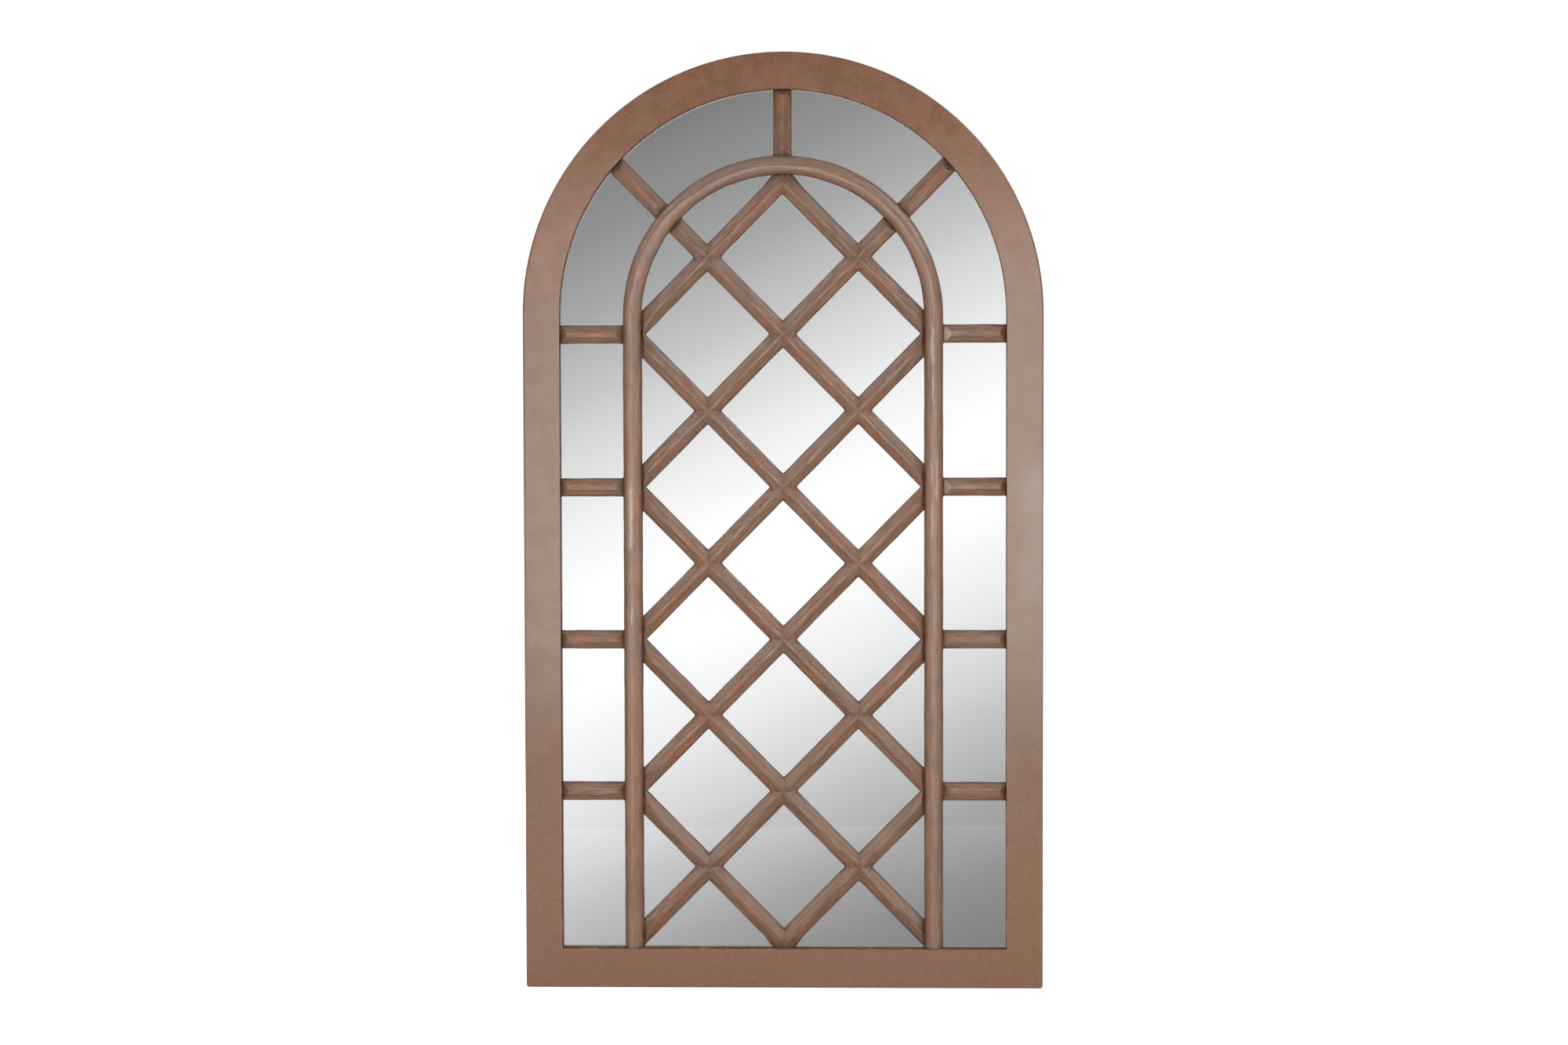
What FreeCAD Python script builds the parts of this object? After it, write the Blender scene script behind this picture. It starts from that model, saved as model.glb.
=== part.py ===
import FreeCAD, Part
import math
import os
import re

import Sketcher

# Arched window mirror: a flat painted frame with a round head, one sheet of
# mirror glass behind it, and on the glass a hoop of half-round moulding that
# holds a diagonal lattice of glazing bars.
#
# The finished part stands upright: x to the right, z up, the front towards -y,
# the origin at the middle of the frame's back face, on its bottom edge.
# Each piece is drawn as it lies face up on a bench: x across, y along the
# height, z up through the thickness from the plane of the back. Its placement
# then stands it upright.

SIZES = {
    # outer frame
    "width": 800,
    "frame_face": 56,
    "rail_face": 60,
    "front_round": 3,
    "corner_round": 4,
    "head_tail": 60,
    "crown_lap": 8,
    # layers behind the face, from the front
    "lip_thickness": 13,
    "glass_thickness": 4,
    "foam_thickness": 2,
    "board_thickness": 3,
    "glass_overlap": 10,
    "board_overlap": 22,
    "glass_clearance": 1,
    "foam_inset": 6,
    "board_clearance": 0.5,
    # hoop and lattice
    "border_gap": 97.5,
    "spring_rise": 31,
    "hoop_drop": 4,
    "hoop_width": 29,
    "hoop_height": 15,
    "hoop_edge": 2,
    "bar_width": 29,
    "bar_height": 12,
    "bar_edge": 3,
    "bar_ridge": 6,
    "muntin_width": 28,
    "muntin_height": 11,
    "lattice_rows": 5,
    "apex_inset": 9,
    "mitre_gap": 0.2,
    "halving_clearance": 0.1,
    "tongue_width": 20,
    "tongue_length": 8,
    "tongue_thickness": 3.5,
    "tongue_clearance": 0.2,
    "dowel_diameter": 6,
    "dowel_length": 30,
    "dowel_height": 6,
    "dowel_clearance": 0.05,
    # fastenings
    "joint_screw_diameter": 4,
    "joint_screw_head": 8,
    "joint_screw_length": 16,
    "joint_screw_inset": 15,
    "board_screw_diameter": 3.5,
    "board_screw_head": 7,
    "board_screw_head_height": 2,
    "board_screw_length": 12,
    "board_screw_foot_spread": 180,
    "board_screw_first": 150,
    "board_screw_drop": 92,
    "board_screw_angle": 30,
    "screw_clearance": 0.05,
    # hangers and bumpers on the back of the stiles
    "hanger_drop": 142,
    "strap_width": 13,
    "strap_length": 48,
    "strap_thickness": 1.2,
    "strap_screw_top": 29,
    "strap_screw_pitch": 12,
    "strap_screw_length": 14,
    "wire_diameter": 3.2,
    "wire_clearance": 0.08,
    "ring_stand_off": 0.4,
    "ring_half_width": 11.6,
    "ring_corner": 4,
    "ring_side": 6,
    "bumper_diameter": 12,
    "bumper_thickness": 3,
    "bumper_height": 90,
    "bumper_round": 1,
}

PLACES = {
    "half_width": "width / 2",
    "opening_half": "half_width - frame_face",
    # the hoop's middle line and edges
    "hoop_reach": "opening_half - border_gap - hoop_width / 2",
    "hoop_inner": "hoop_reach - hoop_width / 2",
    "hoop_outer": "hoop_reach + hoop_width / 2",
    # the rows of nodes: the last full row lies spring_rise below the arch's spring, and
    # the row over it is the top apex, which lies apex_inset under the hoop's crown
    "node_foot": "rail_face + apex_inset",
    "row_pitch": "hoop_inner + spring_rise - hoop_drop - apex_inset",
    "cross_node": "node_foot + (lattice_rows - 1) * row_pitch",
    "node_top": "cross_node + row_pitch",
    "arch_spring": "cross_node + spring_rise",
    "hoop_spring": "arch_spring - hoop_drop",
    "column_pitch": "hoop_reach / 2",
    "slope": "atan2(row_pitch / 2; column_pitch)",
    "node_step": "sqrt(column_pitch ^ 2 + (row_pitch / 2) ^ 2)",
    "blank_reach": "2 * node_step",
    # the frame's depth and the steps in its back
    "foam_front": "board_thickness + foam_thickness",
    "glass_front": "foam_front + glass_thickness",
    "frame_depth": "glass_front + lip_thickness",
    "glass_seat_half": "opening_half + glass_overlap",
    "board_seat_half": "opening_half + board_overlap",
    "glass_seat_foot": "rail_face - glass_overlap",
    "board_seat_foot": "rail_face - board_overlap",
    "stile_middle": "(half_width + board_seat_half) / 2",
    "board_screw_reach": "(glass_seat_half + board_seat_half) / 2",
    "board_screw_foot": "(glass_seat_foot + board_seat_foot) / 2",
    "board_screw_last": "arch_spring - board_screw_drop",
    "hanger_height": "arch_spring - hanger_drop",
    # distances along the diagonal from the cross node to the curved edges
    "hoop_drop_along": "(cross_node - hoop_spring) * sin(slope)",
    "hoop_drop_aside": "(cross_node - hoop_spring) * cos(slope)",
    "arch_drop_along": "(cross_node - arch_spring) * sin(slope)",
    "arch_drop_aside": "(cross_node - arch_spring) * cos(slope)",
    "diagonal_inner": "sqrt(hoop_inner ^ 2 - hoop_drop_aside ^ 2) - hoop_drop_along",
    "diagonal_outer": "sqrt(hoop_outer ^ 2 - hoop_drop_aside ^ 2) - hoop_drop_along",
    "diagonal_arch": "sqrt(opening_half ^ 2 - arch_drop_aside ^ 2) - arch_drop_along",
    # housings and holes with their clearances
    "housing_half": "tongue_width / 2 + tongue_clearance",
    "housing_length": "tongue_length + tongue_clearance",
    "housing_depth": "tongue_thickness + tongue_clearance",
    "bar_hip": "bar_height - tongue_thickness",
    "muntin_hip": "muntin_height - tongue_thickness",
    # the two screws of the crown's lap, as angles from the top
    "crown_screw_near": "crown_lap * 0.3",
    "crown_screw_far": "crown_lap * 0.75",
    # the hanger's pivot, behind the plane of the back
    "pivot_depth": "strap_thickness + ring_stand_off + wire_diameter / 2",
    "knuckle_bore": "wire_diameter / 2 + wire_clearance",
    "bumper_radius": "bumper_diameter / 2",
}

OVERCUT = 2.0          # how far a cut runs past the face that it opens in
TOUCHING = 0.01        # how near two lengths are when they count as the same
SIDE_SCREWS = 5        # screws of the backing board along each stile
ARCH_SCREWS = 3        # and round each half of the arch
COUNTERSINK = "-45"    # slope of a countersunk head's flank
LEFT, RIGHT = -1, 1
RISE, FALL = 1, -1

doc = FreeCAD.newDocument("ArchedWindowMirror")
nodes = []


# ---------------------------------------------------------------- the sheets

def fill_sheet(name, entries, write):
    sheet = doc.addObject("Spreadsheet::Sheet", name)
    for row, (alias, entry) in enumerate(entries.items(), start=1):
        sheet.set(f"A{row}", alias)
        sheet.set(f"B{row}", write(entry))
        sheet.setAlias(f"B{row}", alias)
    doc.recompute()
    return sheet


def sized(text):
    """The expression with each size's name led by the sheet that holds it."""
    def lead(match):
        word = match.group(0)
        if word in SIZES:
            return "Sizes." + word
        if word in PLACES:
            return "Places." + word
        return word
    return re.sub(r"[a-z]\w*", lead, str(text))


def own_names(text):
    """The same for a formula inside the second sheet, which names its own cells plainly."""
    def lead(match):
        word = match.group(0)
        return "Sizes." + word if word in SIZES else word
    return re.sub(r"[a-z]\w*", lead, text)


# ------------------------------------------------------------ drawing helpers

def value(owner, text):
    result = owner.evalExpression(sized(text))
    return float(getattr(result, "Value", result))


def bind(owner, path, text):
    owner.setExpression(path, sized(text))


def upright(piece, across="0", height="0", depth="0", turn="0"):
    """Stands a piece up from the bench: its origin goes to (across, height) in the
    plane that lies depth in front of the back, turned about the axis of the thickness."""
    bind(piece, "Placement", (
        f"create(<<placement>>; create(<<vector>>; {across}; -({depth}); {height});"
        " create(<<rotation>>; create(<<vector>>; 1; 0; 0); 90)"
        f" * create(<<rotation>>; create(<<vector>>; 0; 0; 1); {turn}))"))


def new_body(label, **place):
    body = doc.addObject("PartDesign::Body", label)
    body.Label = label
    body.AllowCompound = True
    upright(body, **place)
    return body


def origin_plane(body, role):
    return next(item for item in body.Origin.OriginFeatures if item.Role == role)


def new_sketch(body, name, role="XY_Plane", level="0"):
    """A sketch on one of the body's planes, moved along its normal to a level."""
    sketch = body.newObject("Sketcher::SketchObject", f"{body.Name}_{name}")
    sketch.AttachmentSupport = [(origin_plane(body, role), "")]
    sketch.MapMode = "FlatFace"
    bind(sketch, "AttachmentOffset.Base.z", level)
    return sketch


def point(sketch, corner):
    return FreeCAD.Vector(value(sketch, corner[0]), value(sketch, corner[1]), 0)


def pin(sketch, geometry, end, corner):
    """Holds one end of a line, or an arc's centre, at a pair of expressions."""
    place = point(sketch, corner)
    for kind, text, length in (("DistanceX", corner[0], place.x), ("DistanceY", corner[1], place.y)):
        index = sketch.addConstraint(Sketcher.Constraint(kind, geometry, end, length))
        bind(sketch, f"Constraints[{index}]", text)


def add_outline(sketch, corners):
    """A closed outline of straight sides through corners given as pairs of expressions."""
    points = [point(sketch, corner) for corner in corners]
    ahead = points[1:] + points[:1]
    first = sketch.GeometryCount
    sketch.addGeometry([Part.LineSegment(a, b) for a, b in zip(points, ahead)], False)
    count = len(points)
    for index in range(count):
        sketch.addConstraint(Sketcher.Constraint(
            "Coincident", first + index, 2, first + (index + 1) % count, 1))
    for index, corner in enumerate(corners):
        pin(sketch, first + index, 1, corner)


def add_rectangle(sketch, left, right, low, high):
    add_outline(sketch, [(left, low), (right, low), (right, high), (left, high)])


def add_turned_rectangle(sketch, side, start, end, half):
    """A rectangle along the diagonal through the cross node, given in the plan of the
    glass: start and end are distances along the diagonal, half is half its width."""
    corners = []
    for along, aside in ((start, f"-({half})"), (end, f"-({half})"), (end, half), (start, half)):
        corners.append((f"{side} * (({along}) * cos(slope) - ({aside}) * sin(slope))",
                        f"cross_node + ({along}) * sin(slope) + ({aside}) * cos(slope)"))
    add_outline(sketch, corners)


def add_arched_outline(sketch, half, foot, spring):
    """Straight foot and sides with a half circle over them."""
    corners = [(f"-({half})", spring), (f"-({half})", foot), (half, foot), (half, spring)]
    points = [point(sketch, corner) for corner in corners]
    sketch.addGeometry([Part.LineSegment(a, b) for a, b in zip(points, points[1:])], False)
    centre = FreeCAD.Vector(0, points[0].y, 0)
    circle = Part.Circle(centre, FreeCAD.Vector(0, 0, 1), points[3].x)
    arc = sketch.addGeometry(Part.ArcOfCircle(circle, 0, math.pi), False)
    sketch.addConstraint([
        Sketcher.Constraint("Coincident", 0, 2, 1, 1),
        Sketcher.Constraint("Coincident", 1, 2, 2, 1),
        Sketcher.Constraint("Coincident", 2, 2, arc, 1),
        Sketcher.Constraint("Coincident", arc, 2, 0, 1),
    ])
    for line, corner in enumerate(corners[:3]):
        pin(sketch, line, 1, corner)
    pin(sketch, 2, 2, corners[3])
    index = sketch.addConstraint(Sketcher.Constraint("DistanceY", arc, 3, centre.y))
    bind(sketch, f"Constraints[{index}]", spring)


def add_circle(sketch, across, height, radius):
    centre = point(sketch, (across, height))
    size = value(sketch, radius)
    circle = sketch.addGeometry(Part.Circle(centre, FreeCAD.Vector(0, 0, 1), size), False)
    pin(sketch, circle, 3, (across, height))
    index = sketch.addConstraint(Sketcher.Constraint("Radius", circle, size))
    bind(sketch, f"Constraints[{index}]", radius)


def add_half_round(sketch, centre, width, height, edge):
    """Section of the hoop: a flat back, short square edges and one arc over them."""
    half = f"({width}) / 2"
    corners = [(f"{centre} - {half}", edge), (f"{centre} - {half}", "0"),
               (f"{centre} + {half}", "0"), (f"{centre} + {half}", edge)]
    points = [point(sketch, corner) for corner in corners]
    top = point(sketch, (centre, height))
    sketch.addGeometry([Part.LineSegment(a, b) for a, b in zip(points, points[1:])], False)
    arc = sketch.addGeometry(Part.Arc(points[3], top, points[0]), False)
    sketch.addConstraint([
        Sketcher.Constraint("Coincident", 0, 2, 1, 1),
        Sketcher.Constraint("Coincident", 1, 2, 2, 1),
        Sketcher.Constraint("Coincident", 2, 2, arc, 1),
        Sketcher.Constraint("Coincident", arc, 2, 0, 1),
    ])
    for line, corner in enumerate(corners[:3]):
        pin(sketch, line, 1, corner)
    pin(sketch, 2, 2, corners[3])
    sagitta = f"({height} - {edge})"
    radius = f"(({half}) ^ 2 + {sagitta} ^ 2) / (2 * {sagitta})"
    index = sketch.addConstraint(Sketcher.Constraint("Radius", arc, value(sketch, radius)))
    bind(sketch, f"Constraints[{index}]", radius)


def add_ridged(sketch, width, height, edge, ridge):
    """Section of a glazing bar: square edges, sloping flanks and a rounded ridge
    that both flanks run into without a corner."""
    half = f"({width}) / 2"
    corners = [(f"-{half}", edge), (f"-{half}", "0"), (half, "0"), (half, edge)]
    points = [point(sketch, corner) for corner in corners]
    size = value(sketch, ridge)
    centre = point(sketch, ("0", f"{height} - {ridge}"))
    shoulder = points[3] - centre
    turn = math.atan2(shoulder.y, shoulder.x) + math.acos(size / shoulder.Length)
    touch = FreeCAD.Vector(size * math.cos(turn), size * math.sin(turn), 0)
    right = centre + touch
    left = FreeCAD.Vector(-right.x, right.y, 0)
    sides = [Part.LineSegment(a, b) for a, b in zip(points, points[1:])]
    flank_right = Part.LineSegment(points[3], right)
    flank_left = Part.LineSegment(left, points[0])
    circle = Part.Circle(centre, FreeCAD.Vector(0, 0, 1), size)
    crest = Part.ArcOfCircle(circle, turn, math.pi - turn)
    sketch.addGeometry(sides + [flank_right, crest, flank_left], False)
    sketch.addConstraint([
        Sketcher.Constraint("Coincident", 0, 2, 1, 1),
        Sketcher.Constraint("Coincident", 1, 2, 2, 1),
        Sketcher.Constraint("Coincident", 2, 2, 3, 1),
        Sketcher.Constraint("Tangent", 3, 2, 4, 1),
        Sketcher.Constraint("Tangent", 4, 2, 5, 1),
        Sketcher.Constraint("Coincident", 5, 2, 0, 1),
    ])
    for line, corner in enumerate(corners[:3]):
        pin(sketch, line, 1, corner)
    pin(sketch, 2, 2, corners[3])
    pin(sketch, 4, 3, ("0", f"{height} - {ridge}"))
    index = sketch.addConstraint(Sketcher.Constraint("Radius", 4, size))
    bind(sketch, f"Constraints[{index}]", ridge)


# ------------------------------------------------------------ feature helpers

def extrude(body, kind, sketch, name, length, reverse=False, taper=None):
    feature = body.newObject(f"PartDesign::{kind}", f"{body.Name}_{name}")
    feature.Profile = sketch
    feature.Reversed = reverse
    bind(feature, "Length", length)
    if taper:
        bind(feature, "TaperAngle", taper)
    return feature


def pad(body, sketch, name, length, reverse=False, taper=None):
    return extrude(body, "Pad", sketch, name, length, reverse, taper)


def pocket(body, sketch, name, length, reverse=False, taper=None):
    """A cut along the sketch's normal. Its direction is proved by the volume it takes."""
    doc.recompute()
    before = body.Shape.Volume
    feature = extrude(body, "Pocket", sketch, name, length, reverse, taper)
    doc.recompute()
    if body.Shape.Volume >= before:
        raise ValueError(f"{feature.Name} cuts nothing")
    return feature


def revolve(body, sketch, name, angle, reverse=False):
    """Turns a section about the sketch's own upright axis."""
    feature = body.newObject("PartDesign::Revolution", f"{body.Name}_{name}")
    feature.Profile = sketch
    feature.ReferenceAxis = (sketch, ["V_Axis"])
    feature.Reversed = reverse
    bind(feature, "Angle", angle)
    return feature


def row_pattern(body, originals, name, length, count):
    """Repeats features up the height of the piece."""
    pattern = body.newObject("PartDesign::LinearPattern", f"{body.Name}_{name}")
    pattern.Originals = originals
    pattern.Direction = (originals[0].Profile[0], ["V_Axis"])
    bind(pattern, "Length", length)
    bind(pattern, "Occurrences", count)
    body.Tip = pattern
    return pattern


def round_edges(body, name, radius, chosen):
    """Fillets every edge of the body so far that the test picks by its middle point."""
    doc.recompute()
    feature = body.Tip
    names = [f"Edge{index}" for index, edge in enumerate(feature.Shape.Edges, start=1)
             if chosen(middle_of(edge), edge)]
    fillet = body.newObject("PartDesign::Fillet", f"{body.Name}_{name}")
    fillet.Base = (feature, names)
    bind(fillet, "Radius", radius)
    return fillet


def middle_of(edge):
    return edge.valueAt((edge.FirstParameter + edge.LastParameter) / 2)


def near(a, b):
    return abs(a - b) < TOUCHING


def holes(body, name, centres, radius, depth, level="0", taper=None):
    """Round holes in one sketch, cut forward from a level above the back."""
    sketch = new_sketch(body, name + "_sketch", level=level)
    for across, height in centres:
        add_circle(sketch, across, height, radius)
    return pocket(body, sketch, name, depth, reverse=True, taper=taper)


def keep(piece, label):
    piece.Label = label
    nodes.append(piece)
    return piece


# ------------------------------------------------------------ shared positions

def row_height(row):
    """Height of a node on the middle line: row 0 is the foot, the last row the top."""
    return f"(node_foot + {row} * row_pitch)"


def corner_screws(side):
    middle = f"{side} * stile_middle"
    return [(middle, "joint_screw_inset"), (middle, "rail_face - joint_screw_inset")]


def spring_screws(side):
    middle = f"{side} * stile_middle"
    return [(middle, "arch_spring - joint_screw_inset"),
            (middle, "arch_spring - head_tail + joint_screw_inset")]


def crown_screws():
    """Two screws in the lap at the crown, on the middle line of the back's flat."""
    return [(f"stile_middle * sin({angle})", f"arch_spring + stile_middle * cos({angle})")
            for angle in ("crown_screw_near", "crown_screw_far")]


def side_board_screws(side):
    """Screws of the backing board along one stile, evenly spaced."""
    step = f"(board_screw_last - board_screw_first) / {SIDE_SCREWS - 1}"
    return [(f"{side} * board_screw_reach", f"board_screw_first + {index} * {step}")
            for index in range(SIDE_SCREWS)]


def arch_board_screws(side):
    """Screws of the backing board round one half of the arch."""
    centres = []
    for index in range(ARCH_SCREWS):
        angle = f"({index} + 0.5) * board_screw_angle"
        centres.append((f"{side} * board_screw_reach * cos({angle})",
                        f"arch_spring + board_screw_reach * sin({angle})"))
    return centres


def foot_board_screws():
    return [(f"{share} * board_screw_foot_spread", "board_screw_foot") for share in (-1, 0, 1)]


def strap_screws(side):
    middle = f"{side} * stile_middle"
    top = "hanger_height - strap_screw_top"
    return [(middle, top), (middle, f"{top} - strap_screw_pitch")]


def joint_screw_holes(body, centres, countersunk):
    holes(body, "joint_holes", centres, "joint_screw_diameter / 2 + screw_clearance",
          "joint_screw_length + screw_clearance")
    if countersunk:
        holes(body, "countersinks", countersunk, "joint_screw_head / 2 + screw_clearance",
              "(joint_screw_head - joint_screw_diameter) / 2", taper=COUNTERSINK)


def board_screw_holes(body, centres):
    holes(body, "board_holes", centres, "board_screw_diameter / 2 + screw_clearance",
          "board_screw_length + screw_clearance")


# ------------------------------------------------------------------ the frame

def front_section(sketch, side):
    """The lip that shows: full face width, from the glass to the front."""
    add_rectangle(sketch, f"{side} * opening_half", f"{side} * half_width", "glass_front", "frame_depth")


def back_section(sketch, side):
    """The stepped back: the board sits in the wider step, the glass in the narrower."""
    add_outline(sketch, [
        (f"{side} * board_seat_half", "0"),
        (f"{side} * half_width", "0"),
        (f"{side} * half_width", "glass_front"),
        (f"{side} * glass_seat_half", "glass_front"),
        (f"{side} * glass_seat_half", "board_thickness"),
        (f"{side} * board_seat_half", "board_thickness"),
    ])


def make_stile(label, side):
    """Upright member. Its front half stands on the rail, its back half runs down
    behind the rail and stops under the tail of the head: a halved joint at each end."""
    body = new_body(label)
    front = new_sketch(body, "front_section", "XZ_Plane", "-rail_face")
    front_section(front, side)
    pad(body, front, "front_half", "arch_spring - rail_face", reverse=True)
    back = new_sketch(body, "back_section", "XZ_Plane")
    back_section(back, side)
    pad(body, back, "back_half", "arch_spring - head_tail", reverse=True)
    half = value(body, "half_width")
    depth = value(body, "frame_depth")
    round_edges(body, "front_rounding", "front_round",
                lambda at, edge: near(abs(at.x), half) and near(at.z, depth))
    round_edges(body, "foot_rounding", "corner_round",
                lambda at, edge: near(abs(at.x), half) and near(at.y, 0)
                and near(edge.Length, value(body, "glass_front")))
    notch = new_sketch(body, "notch", level="glass_front")
    add_rectangle(notch, f"{side} * (opening_half - {OVERCUT})", f"{side} * (opening_half + housing_length)",
                  f"{row_height(1)} - housing_half", f"{row_height(1)} + housing_half")
    first = pocket(body, notch, "muntin_notch", "housing_depth", reverse=True)
    row_pattern(body, [first], "muntin_notches", "(lattice_rows - 2) * row_pitch", "lattice_rows - 1")
    joint_screw_holes(body, corner_screws(side) + spring_screws(side), corner_screws(side))
    board_screw_holes(body, side_board_screws(side))
    holes(body, "hanger_holes", strap_screws(side), "board_screw_diameter / 2 + screw_clearance",
          "strap_screw_length - strap_thickness + screw_clearance")
    keep(body, label)


def make_rail():
    """Bottom member. Its front half runs the full width, its back half fits
    between the stiles."""
    body = new_body("bottom_rail")
    front = new_sketch(body, "front_outline", level="glass_front")
    add_rectangle(front, "-half_width", "half_width", "0", "rail_face")
    pad(body, front, "front_half", "lip_thickness")
    middle = new_sketch(body, "middle_outline", level="board_thickness")
    add_rectangle(middle, "-glass_seat_half", "glass_seat_half", "0", "glass_seat_foot")
    pad(body, middle, "middle_layer", "glass_front - board_thickness")
    back = new_sketch(body, "back_outline")
    add_rectangle(back, "-board_seat_half", "board_seat_half", "0", "board_seat_foot")
    pad(body, back, "back_layer", "board_thickness")
    half = value(body, "half_width")
    depth = value(body, "frame_depth")
    round_edges(body, "corner_rounding", "corner_round",
                lambda at, edge: near(abs(at.x), half) and near(at.y, 0)
                and near(edge.Length, value(body, "lip_thickness")))
    top = value(body, "rail_face")
    round_edges(body, "front_rounding", "front_round",
                lambda at, edge: near(at.z, depth) and not near(at.y, top))
    notches = new_sketch(body, "notches", level="glass_front")
    for side in (LEFT, RIGHT):
        add_rectangle(notches, f"{side} * hoop_reach - housing_half", f"{side} * hoop_reach + housing_half",
                      "rail_face - housing_length", f"rail_face + {OVERCUT}")
    pocket(body, notches, "leg_notches", "housing_depth", reverse=True)
    joint_screw_holes(body, corner_screws(LEFT) + corner_screws(RIGHT), [])
    board_screw_holes(body, foot_board_screws())
    keep(body, "bottom_rail")


def make_head(label, side):
    """One half of the round head. Its front half is a quarter ring; its back half
    has a straight tail behind the stile and, at the crown, is long on the left
    and short on the right, so that the two lap."""
    body = new_body(label, height="arch_spring")
    front = new_sketch(body, "front_section", "XZ_Plane")
    front_section(front, side)
    revolve(body, front, "front_quarter", "90", reverse=side == LEFT)
    back = new_sketch(body, "back_section", "XZ_Plane")
    back_section(back, side)
    revolve(body, back, "back_arc", f"90 - {side} * crown_lap", reverse=side == LEFT)
    tail = new_sketch(body, "tail_section", "XZ_Plane")
    back_section(tail, side)
    pad(body, tail, "tail", "head_tail")
    half = value(body, "half_width")
    depth = value(body, "frame_depth")
    round_edges(body, "front_rounding", "front_round",
                lambda at, edge: near(math.hypot(at.x, at.y), half) and near(at.z, depth))
    notches = new_sketch(body, "notches", level="glass_front")
    bind(notches, "AttachmentOffset.Base.y", "-arch_spring")
    add_rectangle(notches, "-housing_half", "housing_half",
                  f"arch_spring + opening_half - {OVERCUT}", "arch_spring + opening_half + housing_length")
    add_turned_rectangle(notches, side, f"diagonal_arch - {OVERCUT}", "diagonal_arch + housing_length",
                         "housing_half")
    pocket(body, notches, "muntin_notches", "housing_depth", reverse=True)
    tail_screws = lowered(spring_screws(side))
    crown = lowered(crown_screws())
    joint_screw_holes(body, tail_screws + crown, tail_screws + (crown if side == LEFT else []))
    board_screw_holes(body, lowered(arch_board_screws(side)))
    keep(body, label)


def lowered(centres):
    """Centres measured from the foot, taken to a piece whose origin is the arch's centre."""
    return [(across, f"{height} - arch_spring") for across, height in centres]


def make_joint_screws():
    """Countersunk screws, head flush with the back, through each halved joint."""
    body = new_body("frame_joint_screws")
    centres = crown_screws()
    for side in (LEFT, RIGHT):
        centres += corner_screws(side) + spring_screws(side)
    shank = new_sketch(body, "shank_circles")
    head = new_sketch(body, "head_circles")
    for across, height in centres:
        add_circle(shank, across, height, "joint_screw_diameter / 2")
        add_circle(head, across, height, "joint_screw_head / 2")
    pad(body, shank, "shanks", "joint_screw_length")
    pad(body, head, "heads", "(joint_screw_head - joint_screw_diameter) / 2", taper=COUNTERSINK)
    keep(body, "frame_joint_screws")


# ------------------------------------------------- the glass and what backs it

def make_sheet(label, half, foot, level, thickness):
    """A flat sheet with the arched outline."""
    body = new_body(label)
    outline = new_sketch(body, "outline", level=level)
    add_arched_outline(outline, half, foot, "arch_spring")
    pad(body, outline, "sheet", thickness)
    keep(body, label)
    return body


def make_backing_board():
    body = make_sheet("backing_board", "board_seat_half - board_clearance",
                      "board_seat_foot + board_clearance", "0", "board_thickness")
    board_screw_holes(body, all_board_screws())


def all_board_screws():
    centres = foot_board_screws()
    for side in (LEFT, RIGHT):
        centres += side_board_screws(side) + arch_board_screws(side)
    return centres


def make_pan_screws(label, centres, seat, length):
    """Pan-head screws whose heads bear on a seat behind the back's plane."""
    body = new_body(label)
    shank = new_sketch(body, "shank_circles", level=f"-({seat})")
    head = new_sketch(body, "head_circles", level=f"-({seat})")
    for across, height in centres:
        add_circle(shank, across, height, "board_screw_diameter / 2")
        add_circle(head, across, height, "board_screw_head / 2")
    pad(body, shank, "shanks", length)
    pad(body, head, "heads", "board_screw_head_height", reverse=True)
    back = -value(body, seat) - value(body, "board_screw_head_height")
    round_edges(body, "head_rounding", "board_screw_head_height / 2", lambda at, edge: near(at.z, back))
    keep(body, label)


# -------------------------------------------------------------------- the hoop

def make_hoop_crown():
    """Half ring of the hoop, with housings underneath for the tongues that enter it."""
    body = new_body("hoop_crown", height="hoop_spring", depth="glass_front")
    section = new_sketch(body, "section", "XZ_Plane")
    add_half_round(section, "hoop_reach", "hoop_width", "hoop_height", "hoop_edge")
    revolve(body, section, "half_ring", "180")
    housings = new_sketch(body, "housings")
    bind(housings, "AttachmentOffset.Base.y", "-hoop_spring")
    top = "(hoop_spring + hoop_outer)"
    add_rectangle(housings, "-housing_half", "housing_half", f"{top} - housing_length", f"{top} + {OVERCUT}")
    for side in (LEFT, RIGHT):
        add_turned_rectangle(housings, side, f"diagonal_inner - {OVERCUT}",
                             "diagonal_inner + housing_length", "housing_half")
        add_turned_rectangle(housings, side, "diagonal_outer - housing_length",
                             f"diagonal_outer + {OVERCUT}", "housing_half")
    pocket(body, housings, "tongue_housings", "housing_depth", reverse=True)
    bores = new_sketch(body, "bores", "XZ_Plane")
    for side in (LEFT, RIGHT):
        add_circle(bores, f"{side} * hoop_reach", "dowel_height", "dowel_diameter / 2 + dowel_clearance")
    pocket(body, bores, "dowel_bores", "dowel_length / 2 + dowel_clearance")
    keep(body, "hoop_crown")


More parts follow.
